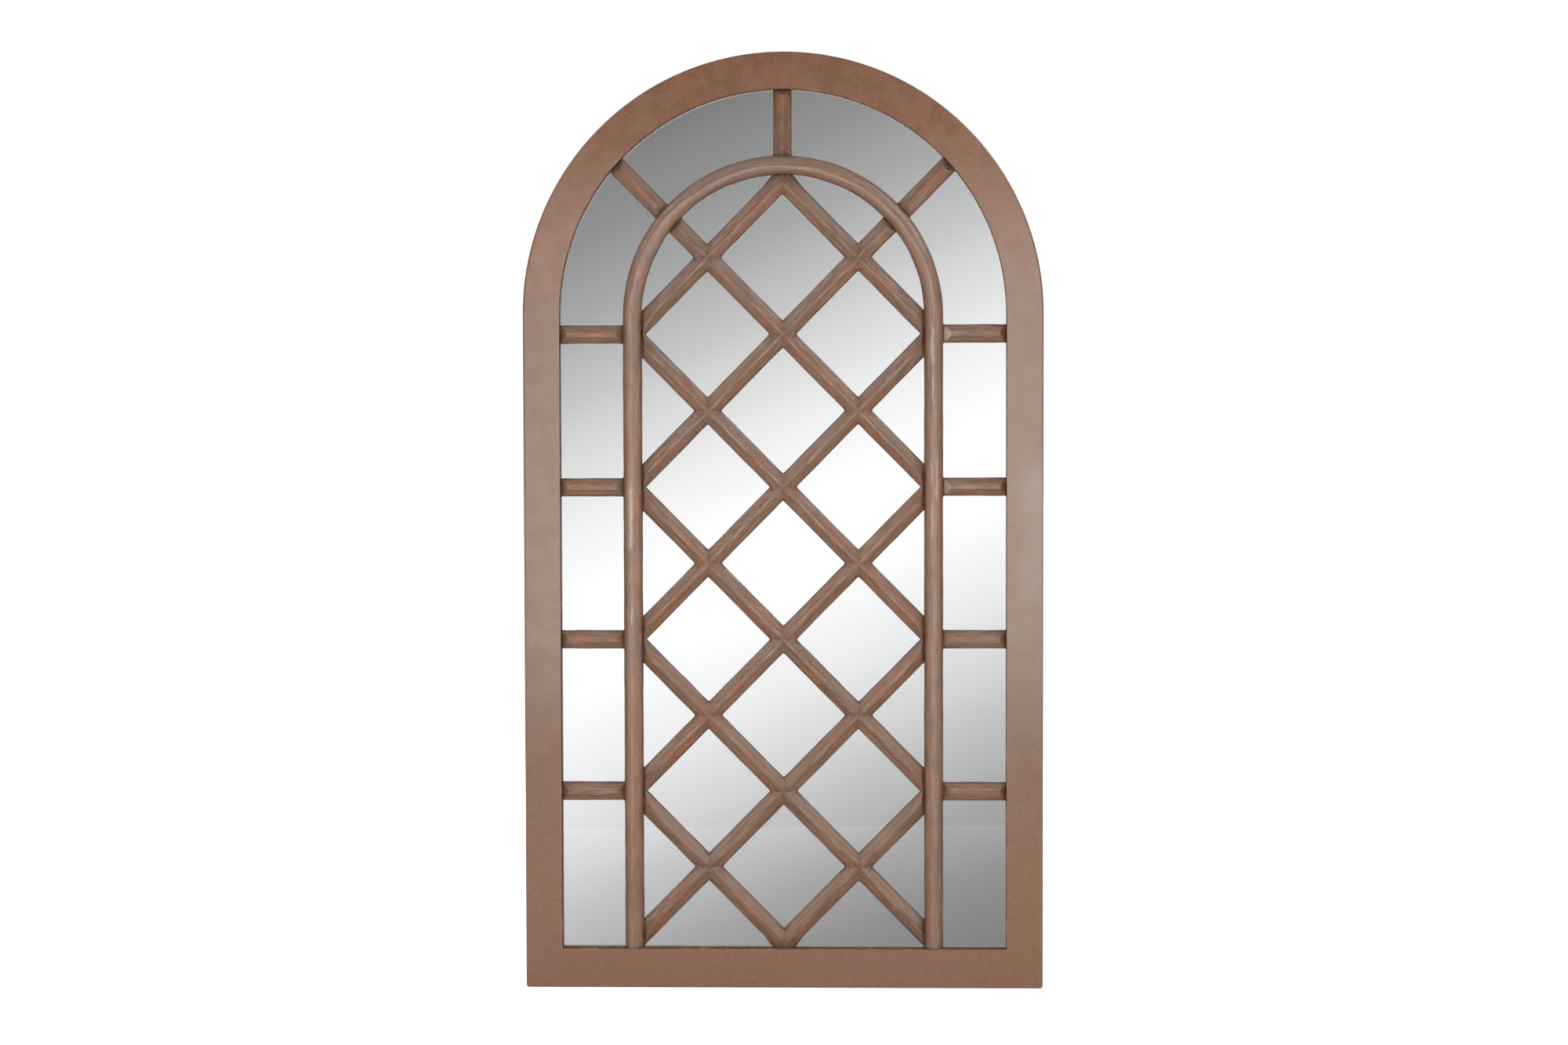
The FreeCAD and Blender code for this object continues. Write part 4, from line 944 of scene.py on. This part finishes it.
def make_hoop(sizes, material):
    """The bent half-round moulding as its crown and two legs, one continuous carving."""
    half = (HOOP_OUTER - HOOP_INNER) / 2
    edge = sizes.hoop_edge
    leg = HOOP_SPRING - RAIL_TOP
    arc = math.pi * HOOP_MIDDLE
    parts = (
        ("hoop_leg_left", -RAIL_TUCK, leg),
        ("hoop_crown", leg, leg + arc),
        ("hoop_leg_right", leg + arc, 2 * leg + arc + RAIL_TUCK),
    )
    for node, begin, end in parts:
        count = int((end - begin) / sizes.spacing) + 1
        way = np.linspace(begin, end, count)[:, None] + 0 * ACROSS[None, :]
        tau = np.broadcast_to(ACROSS[None, :], way.shape)
        side = tau * (half + 0.0003 * wander(way, 4.0, (0.21, 0.09, 0.05)))
        turn = np.clip((way - leg) / HOOP_MIDDLE, 0.0, math.pi)
        below = np.where(way < leg, way - leg, np.where(way > leg + arc, leg + arc - way, 0.0))
        radius = HOOP_MIDDLE + side
        x = -radius * np.cos(turn)
        z = HOOP_SPRING + radius * np.sin(turn) + below
        uneven = wander(way, 11.0, (0.23, 0.11, 0.052))
        small = wander(way + 0.01 * tau, 15.0, (0.031, 0.019, 0.012))
        lean = 0.2 * soft_step(-x, 0.1, 0.22) - 0.12 * soft_step(z, 1.1, 1.25)
        lean = lean + 0.06 * wander(way, 13.0, (0.17, 0.08))
        bent = np.clip(np.abs(tau - lean * (1 - tau * tau)), 0.0, 1.0)
        top = HOOP_HEIGHT - sizes.ripple * (1 - uneven)
        rise = edge + (top - edge) * (1 - bent**1.75) ** 0.72
        rise = rise - 0.3 * sizes.ripple * (1 - small) * (1 - tau**4)
        rise = np.maximum(rise, edge - 0.0006)

        foot = np.maximum(z - RAIL_TOP, 0)
        # Painted highlight: the pale crest follows where the lamps' highlights fall. The ridge and
        # its crest lean outwards on the left leg and inwards at the crown's top, and on the right
        # leg below about 1 m the crest splits in two.
        twin = 0.16 * soft_step(x, HOOP_MIDDLE - 0.03, HOOP_MIDDLE) * soft_step(z, 1.0, 0.85)
        crest = bell(np.abs(tau - lean) - twin, 0.15) * (0.65 + 0.35 * uneven)
        # Dark wax and painted shade: darker at the foot on the rail and towards the hoop's sides.
        corner = np.maximum(bell(foot, 0.003), 0.42 * np.abs(tau) ** 6)
        corner = np.maximum(corner, 0.35 * np.exp(-foot / 0.012))
        # Painted highlights: pale streaks at middle height on the legs, where the lamps' highlights
        # fall.
        wear_and_highlight = np.zeros_like(way)
        for on_left, bottom, tip, centre, wide in HIGHLIGHT_STREAKS:
            ends = soft_step(z, bottom, bottom + 0.012) * soft_step(z, tip, tip - 0.02)
            off = tau - centre - 0.05 * wander(way, 31.0, (0.037, 0.021))
            wear_and_highlight = np.maximum(wear_and_highlight, ((x < 0) == on_left) * ends * bell(off, wide, 4))
        masks = {
            "corner_wax_and_shade": np.clip(corner, 0, 1),
            "crest_highlight": np.clip(crest, 0, 1),
            "wear_and_highlight_streak": 0.7 * wear_and_highlight,
            # Painted shade on the upright sides.
            "painted_side_shade": soft_step(np.abs(tau), 0.95, 1.0),
        }
        points = np.stack([x, GLASS_FRONT - rise, z], axis=-1)
        runs = np.stack([way, side, np.full_like(way, 1.0)], axis=-1)
        piece = solid_from_rows(node + "_carved", points, runs, masks, material)
        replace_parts(piece, node)


# ---------------------------------------------------------------- screws and silvering

SCREW_SIDES = 64
HEAD_RINGS = 28
DOME_HEIGHT = 0.0019
RIM_CHAMFER = 0.00025
RECESS_DEPTH = 0.0011
RECESS_HALF_WIDTH = 0.00045


def screw_places(node):
    """The separate screws in a node, each as its lowest and its highest corner. A screw's
    faces come as several loose patches, which share its axis."""
    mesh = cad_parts[node].data
    parent = list(range(len(mesh.vertices)))

    def root(index):
        while parent[index] != index:
            parent[index] = parent[parent[index]]
            index = parent[index]
        return index

    for edge in mesh.edges:
        parent[root(edge.vertices[0])] = root(edge.vertices[1])
    patches = {}
    for vertex in mesh.vertices:
        patches.setdefault(root(vertex.index), []).append(vertex.co)
    found = []
    for places in patches.values():
        table = np.array(places)
        lowest, highest = table.min(axis=0), table.max(axis=0)
        for box in found:
            if np.abs(box.sum(axis=0) - lowest - highest)[[0, 2]].max() < 0.002:
                box[0] = np.minimum(box[0], lowest)
                box[1] = np.maximum(box[1], highest)
                break
        else:
            found.append(np.array([lowest, highest]))
    return sorted(found, key=lambda box: (round(box[0][2], 4), round(box[0][0], 4)))


def cross_recess(u, v, radius):
    """Depth of the driver's cross in a screw's head."""
    arm = 0.55 * radius
    level = max(abs(u) - RECESS_HALF_WIDTH, abs(v) - arm)
    upright = max(abs(v) - RECESS_HALF_WIDTH, abs(u) - arm)
    return RECESS_DEPTH * float(soft_step(-min(level, upright), -0.00008, 0.0003))


def make_screws(node, domed, material):
    """Cross-recessed screws in place of a node's plain ones. Their heads face the wall."""
    turns = [2 * math.pi * step / SCREW_SIDES for step in range(SCREW_SIDES)]
    heads = bmesh.new()

    def add_ring(centre, reach, depths):
        return [
            heads.verts.new(
                (centre[0] + reach * math.cos(turn), depth, centre[2] + reach * math.sin(turn))
            )
            for turn, depth in zip(turns, depths)
        ]

    for number, (lowest, highest) in enumerate(screw_places(node)):
        centre = (lowest + highest) / 2
        radius = (highest[0] - lowest[0]) / 2
        top = highest[1]
        twist = 2.4 * number
        rings = []
        for reach in radius * np.linspace(0.0, 0.97, HEAD_RINGS):
            fall = DOME_HEIGHT * (reach / radius) ** 2.6 if domed else 0.0
            depths = []
            for turn in turns:
                u = reach * math.cos(turn + twist)
                v = reach * math.sin(turn + twist)
                depths.append(top - fall - cross_recess(u, v, radius))
            rings.append(add_ring(centre, reach, depths))
        shank = 0.42 * radius
        rim, neck = (DOME_HEIGHT, DOME_HEIGHT) if domed else (RIM_CHAMFER, 0.62 * radius)
        for reach, depth in (
            (radius, top - rim),
            (shank, top - neck),
            (0.8 * shank, lowest[1] + 0.002),
            (0.1 * shank, lowest[1]),
        ):
            rings.append(add_ring(centre, reach, [depth] * SCREW_SIDES))
        for first, second in zip(rings, rings[1:]):
            for step in range(SCREW_SIDES):
                after = (step + 1) % SCREW_SIDES
                heads.faces.new((first[step], first[after], second[after], second[step]))
        heads.faces.new(rings[-1])
    bmesh.ops.remove_doubles(heads, verts=heads.verts, dist=1e-6)
    bmesh.ops.recalc_face_normals(heads, faces=heads.faces)
    mesh = bpy.data.meshes.new(node + "_crossed")
    heads.to_mesh(mesh)
    heads.free()
    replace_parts(add_piece(node + "_crossed", mesh, material, 40), node)


def make_silvering(material):
    """A thin arched film just inside the back of the glass."""
    inset = 0.0002
    film = 0.00006
    sides = 128
    reach = high("mirror_glass").x - inset
    foot = low("mirror_glass").z + inset
    back = high("mirror_glass").y - film
    outline = [(-reach, foot), (reach, foot)]
    for step in range(sides + 1):
        turn = math.pi * step / sides
        outline.append((reach * math.cos(turn), ARCH_SPRING + reach * math.sin(turn)))
    shape = bmesh.new()
    face = shape.faces.new([shape.verts.new((x, back, z)) for x, z in outline])
    thick = bmesh.ops.extrude_face_region(shape, geom=[face])
    moved = [item for item in thick["geom"] if isinstance(item, bmesh.types.BMVert)]
    bmesh.ops.translate(shape, verts=moved, vec=(0.0, film / 2, 0.0))
    bmesh.ops.recalc_face_normals(shape, faces=shape.faces)
    mesh = bpy.data.meshes.new("mirror_silvering")
    shape.to_mesh(mesh)
    shape.free()
    piece = add_piece("mirror_silvering", mesh, material)
    return piece


# ---------------------------------------------------------------- studio

WHITE = (1.0, 1.0, 1.0)

# What the glass and the gloss reflect: a soft band of light across grey walls, which
# slants. Each stop is a direction's way across the band and its grey.
BAND_SLANT = 0.456
BAND_MIDDLE = 0.0283
BAND_STOPS = (
    (-0.9, 0.6), (-0.4, 0.34), (-0.24, 0.17), (-0.2, 0.154), (-0.17, 0.24), (-0.14, 0.326),
    (-0.11, 0.46), (-0.08, 0.643), (-0.05, 0.837), (-0.02, 0.998), (0.01, 1.068),
    (0.04, 0.964), (0.07, 0.797), (0.1, 0.592), (0.13, 0.405), (0.16, 0.268), (0.19, 0.188),
    (0.22, 0.14), (0.28, 0.2), (0.42, 0.4), (0.9, 0.62),
)


def exclude_from_lamps(item):
    """Keeps the lamps' light off the mirror, which shows no lamp."""
    name = "kept from the lamps"
    kept = bpy.data.collections.get(name) or bpy.data.collections.new(name)
    if item.name not in kept.objects:
        kept.objects.link(item)
        kept.collection_objects[-1].light_linking.link_state = "EXCLUDE"
    return kept


def hang_lamp(scene, name, power, place, heading, size):
    """A rectangular lamp that the camera doesn't see."""
    lamp = bpy.data.lights.new(name, "AREA")
    lamp.energy = power
    lamp.shape = "RECTANGLE"
    lamp.size, lamp.size_y = size
    holder = bpy.data.objects.new(name, lamp)
    holder.location = place
    holder.rotation_euler = Vector(heading).to_track_quat("-Z", "Y").to_euler()
    holder.visible_camera = False
    holder.visible_transmission = False
    holder.light_linking.receiver_collection = exclude_from_lamps(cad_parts["mirror_glass"])
    scene.collection.objects.link(holder)
    return holder


def make_camera(scene, studio):
    lens = bpy.data.cameras.new("photo camera")
    lens.sensor_width = 36.0
    lens.lens = studio.focal_length
    lens.clip_end = 60.0
    camera = bpy.data.objects.new("photo camera", lens)
    tilt, turn, roll = studio.camera_turn
    aim = Matrix.Rotation(turn, 4, "Z") @ Matrix.Rotation(math.pi / 2 + tilt, 4, "X")
    aim = aim @ Matrix.Rotation(roll, 4, "Z")
    camera.matrix_world = Matrix.Translation(studio.camera_place) @ aim
    scene.collection.objects.link(camera)
    scene.camera = camera


def make_lamps(scene, studio):
    """Soft lamps for the light, and panels that only the gloss shows."""
    centre = Vector((0.0, 0.0, 0.75))
    upper = studio.upper_power
    for name, power, place, size, glossy in (
        ("front soft lamp", studio.key_power, (-0.1, -1.7, 0.25), 1.3, False),
        ("upper right soft lamp", upper, (1.9, -0.35, 2.6), 1.2, True),
        ("upper left soft lamp", upper * studio.left_share, (-1.9, -0.35, 2.6), 1.2, True),
        ("back soft lamp", studio.back_power, (0.0, 2.6, 1.3), 1.8, False),
    ):
        lamp = hang_lamp(scene, name, power, place, centre - Vector(place), (size, size))
        lamp.visible_glossy = glossy
    for name, level, place, heading, size in (
        ("front sheen panel", studio.front_sheen, (0.14, -1.1, 0.83), (0, 1, 0), (1.62, 0.98)),
        ("left sheen panel", studio.side_sheen, (-1.15, -0.6, 0.72), (1, 0.45, 0), (0.7, 0.8)),
        ("right sheen panel", studio.side_sheen, (1.15, -0.6, 0.72), (-1, 0.45, 0), (0.7, 0.8)),
    ):
        power = level * math.pi * size[0] * size[1]
        hang_lamp(scene, name, power, place, heading, size).visible_diffuse = False


def make_floor(scene):
    """A pale matt floor just below the mirror, which fades to white further off."""
    reach = 30.0
    corners = [(-reach, -reach, 0), (reach, -reach, 0), (reach, reach, 0), (-reach, reach, 0)]
    mesh = bpy.data.meshes.new("floor")
    mesh.from_pydata(corners, [], [(0, 1, 2, 3)])
    floor = bpy.data.objects.new("floor", mesh)
    scene.collection.objects.link(floor)
    floor.location.z = -0.0005
    floor.visible_transmission = False
    material = bpy.data.materials.new("pale floor")
    mesh.materials.append(material)
    tree = empty_tree(material)
    paths = put(tree, "ShaderNodeLightPath").outputs
    seen = maths(tree, "MAXIMUM", paths["Is Camera Ray"], paths["Is Glossy Ray"])
    far = put(tree, "ShaderNodeVectorMath", {0: object_place(tree)}, operation="LENGTH")
    level = times(tree, seen, span(tree, far.outputs["Value"], 0.5, 2.2, 0.62, 1.0))
    matt = put(tree, "ShaderNodeBsdfDiffuse", {"Color": (0.9, 0.9, 0.9)})
    glow = put(tree, "ShaderNodeEmission", {"Color": WHITE, "Strength": level})
    both = put(tree, "ShaderNodeAddShader", {0: matt.outputs[0], 1: glow.outputs[0]})
    put(tree, "ShaderNodeOutputMaterial", {0: both.outputs[0]})


def make_surroundings(scene, studio):
    """White to the camera, even light on the object, and the slanted band to the rest."""
    world = bpy.data.worlds.new("studio")
    scene.world = world
    tree = empty_tree(world)
    paths = put(tree, "ShaderNodeLightPath").outputs
    parts = parts_of(tree, put(tree, "ShaderNodeTexCoord").outputs["Generated"])
    across = maths(tree, "SUBTRACT", times(tree, parts[0], BAND_SLANT), parts[2])
    across = maths(tree, "SUBTRACT", across, BAND_MIDDLE)
    share = maths(tree, "MULTIPLY_ADD", across, 0.5, 0.5)
    ramp = put(tree, "ShaderNodeValToRGB", {0: share})
    ramp.color_ramp.interpolation = "CARDINAL"
    brightest = max(grey for place, grey in BAND_STOPS)
    elements = ramp.color_ramp.elements
    while len(elements) < len(BAND_STOPS):
        elements.new(0.5)
    for element, (place, grey) in zip(elements, BAND_STOPS):
        element.position = 0.5 + place / 2
        element.color = (grey / brightest, grey / brightest, grey / brightest, 1.0)
    band = put(
        tree, "ShaderNodeVectorMath", {0: ramp.outputs[0], "Scale": brightest}, operation="SCALE"
    )
    colour = blend(tree, paths["Is Diffuse Ray"], band.outputs[0], (studio.ambient,) * 3)
    colour = blend(tree, paths["Is Camera Ray"], colour, WHITE)
    light = put(tree, "ShaderNodeBackground", {"Color": colour, "Strength": 1.0})
    put(tree, "ShaderNodeOutputWorld", {0: light.outputs[0]})


# ---------------------------------------------------------------- operators


class MIRROR_OT_stage(bpy.types.Operator):
    """Sets up the floor, the soft lamps, the surroundings and the camera"""

    bl_idname = "mirror.stage"
    bl_label = "Stage"

    def execute(self, context):
        scene = context.scene
        scene.view_settings.view_transform = "Standard"
        make_camera(scene, scene.mirror_studio)
        make_lamps(scene, scene.mirror_studio)
        make_floor(scene)
        make_surroundings(scene, scene.mirror_studio)
        return {"FINISHED"}


class MIRROR_OT_frame(bpy.types.Operator):
    """Paints the five members of the flat frame"""

    bl_idname = "mirror.frame"
    bl_label = "Flat frame"

    def execute(self, context):
        material = frame_paint_material(context.scene.mirror_colours)
        for node in ("head_left", "head_right", "stile_left", "stile_right", "bottom_rail"):
            dress(node, material)
        return {"FINISHED"}


class MIRROR_OT_hoop(bpy.types.Operator):
    """Carves the half-round hoop's crown and legs"""

    bl_idname = "mirror.hoop"
    bl_label = "Hoop"

    def execute(self, context):
        stain = {"crest_share": 0.32, "streak_share": 0.4, "crackle": 0.6, "shine": 0.5}
        material = carved_material("hoop stain", context.scene.mirror_colours, **stain)
        make_hoop(context.scene.mirror_sizes, material)
        return {"FINISHED"}


class MIRROR_OT_lattice(bpy.types.Operator):
    """Carves the twelve bars of the diamond lattice"""

    bl_idname = "mirror.lattice"
    bl_label = "Lattice"

    def execute(self, context):
        stain = {"crest_share": 0.06, "streak_share": 0.45, "crackle": 0.1, "shine": 0.22}
        material = carved_material("lattice stain", context.scene.mirror_colours, **stain)
        make_lattice(context.scene.mirror_sizes, material)
        return {"FINISHED"}


class MIRROR_OT_muntins(bpy.types.Operator):
    """Carves the eleven short bars across the border"""

    bl_idname = "mirror.muntins"
    bl_label = "Border bars"

    def execute(self, context):
        stain = {"crest_share": 0.03, "streak_share": 0.5, "crackle": 0.1, "shine": 0.22}
        material = carved_material("muntin stain", context.scene.mirror_colours, **stain)
        make_muntins(context.scene.mirror_sizes, material)
        return {"FINISHED"}


class MIRROR_OT_glass(bpy.types.Operator):
    """Gives the sheet its clear glass and the silvering on its back"""

    bl_idname = "mirror.glass"
    bl_label = "Mirror glass"

    def execute(self, context):
        dress("mirror_glass", glass_material())
        exclude_from_lamps(make_silvering(mirror_material()))
        return {"FINISHED"}


class MIRROR_OT_back(bpy.types.Operator):
    """Finishes the back panel, the foam, the dowels and the bumpers"""

    bl_idname = "mirror.back"
    bl_label = "Back"

    def execute(self, context):
        colours = context.scene.mirror_colours
        dress("backing_board", hardboard_material(colours))
        dress("foam_sheet", foam_material())
        dress("hoop_dowels", dowel_material())
        dress("wall_bumpers", rubber_material(colours))
        return {"FINISHED"}


class MIRROR_OT_hangers(bpy.types.Operator):
    """Finishes the hangers and the screws"""

    bl_idname = "mirror.hangers"
    bl_label = "Hangers and screws"

    def execute(self, context):
        zinc = plated_material("zinc plate", tuple(context.scene.mirror_colours.zinc), 900.0, 0.3)
        yellow = plated_material("yellow zinc plate", shade(206, 182, 122), 1200.0, 0.32)
        for side in ("left", "right"):
            dress("hanger_strap_" + side, zinc)
            dress("hanger_ring_" + side, zinc)
        make_screws("hanger_screws", True, zinc)
        make_screws("board_screws", True, yellow)
        make_screws("frame_joint_screws", False, yellow)
        return {"FINISHED"}


OPERATORS = (
    MIRROR_OT_stage,
    MIRROR_OT_frame,
    MIRROR_OT_hoop,
    MIRROR_OT_lattice,
    MIRROR_OT_muntins,
    MIRROR_OT_glass,
    MIRROR_OT_back,
    MIRROR_OT_hangers,
)


class MIRROR_PT_panel(bpy.types.Panel):
    """Lists the mirror's pieces and their sizes and colours"""

    bl_idname = "MIRROR_PT_panel"
    bl_label = "Arched Window Mirror"
    bl_space_type = "VIEW_3D"
    bl_region_type = "UI"
    bl_category = "Mirror"

    def draw(self, context):
        for operator in OPERATORS:
            self.layout.operator(operator.bl_idname)
        for group in ("mirror_sizes", "mirror_colours", "mirror_studio"):
            settings = getattr(context.scene, group)
            box = self.layout.box()
            for key in settings.__annotations__:
                box.prop(settings, key)


CLASSES = (CarvingSizes, FinishColours, StudioSettings, *OPERATORS, MIRROR_PT_panel)


def register():
    for item in CLASSES:
        bpy.utils.register_class(item)
    bpy.types.Scene.mirror_sizes = bpy.props.PointerProperty(type=CarvingSizes)
    bpy.types.Scene.mirror_colours = bpy.props.PointerProperty(type=FinishColours)
    bpy.types.Scene.mirror_studio = bpy.props.PointerProperty(type=StudioSettings)


def unregister():
    del bpy.types.Scene.mirror_studio
    del bpy.types.Scene.mirror_colours
    del bpy.types.Scene.mirror_sizes
    for item in reversed(CLASSES):
        bpy.utils.unregister_class(item)


def main():
    register()
    bpy.ops.mirror.stage()
    bpy.ops.mirror.frame()
    bpy.ops.mirror.hoop()
    bpy.ops.mirror.lattice()
    bpy.ops.mirror.muntins()
    bpy.ops.mirror.glass()
    bpy.ops.mirror.back()
    bpy.ops.mirror.hangers()


if __name__ == "__main__":
    main()
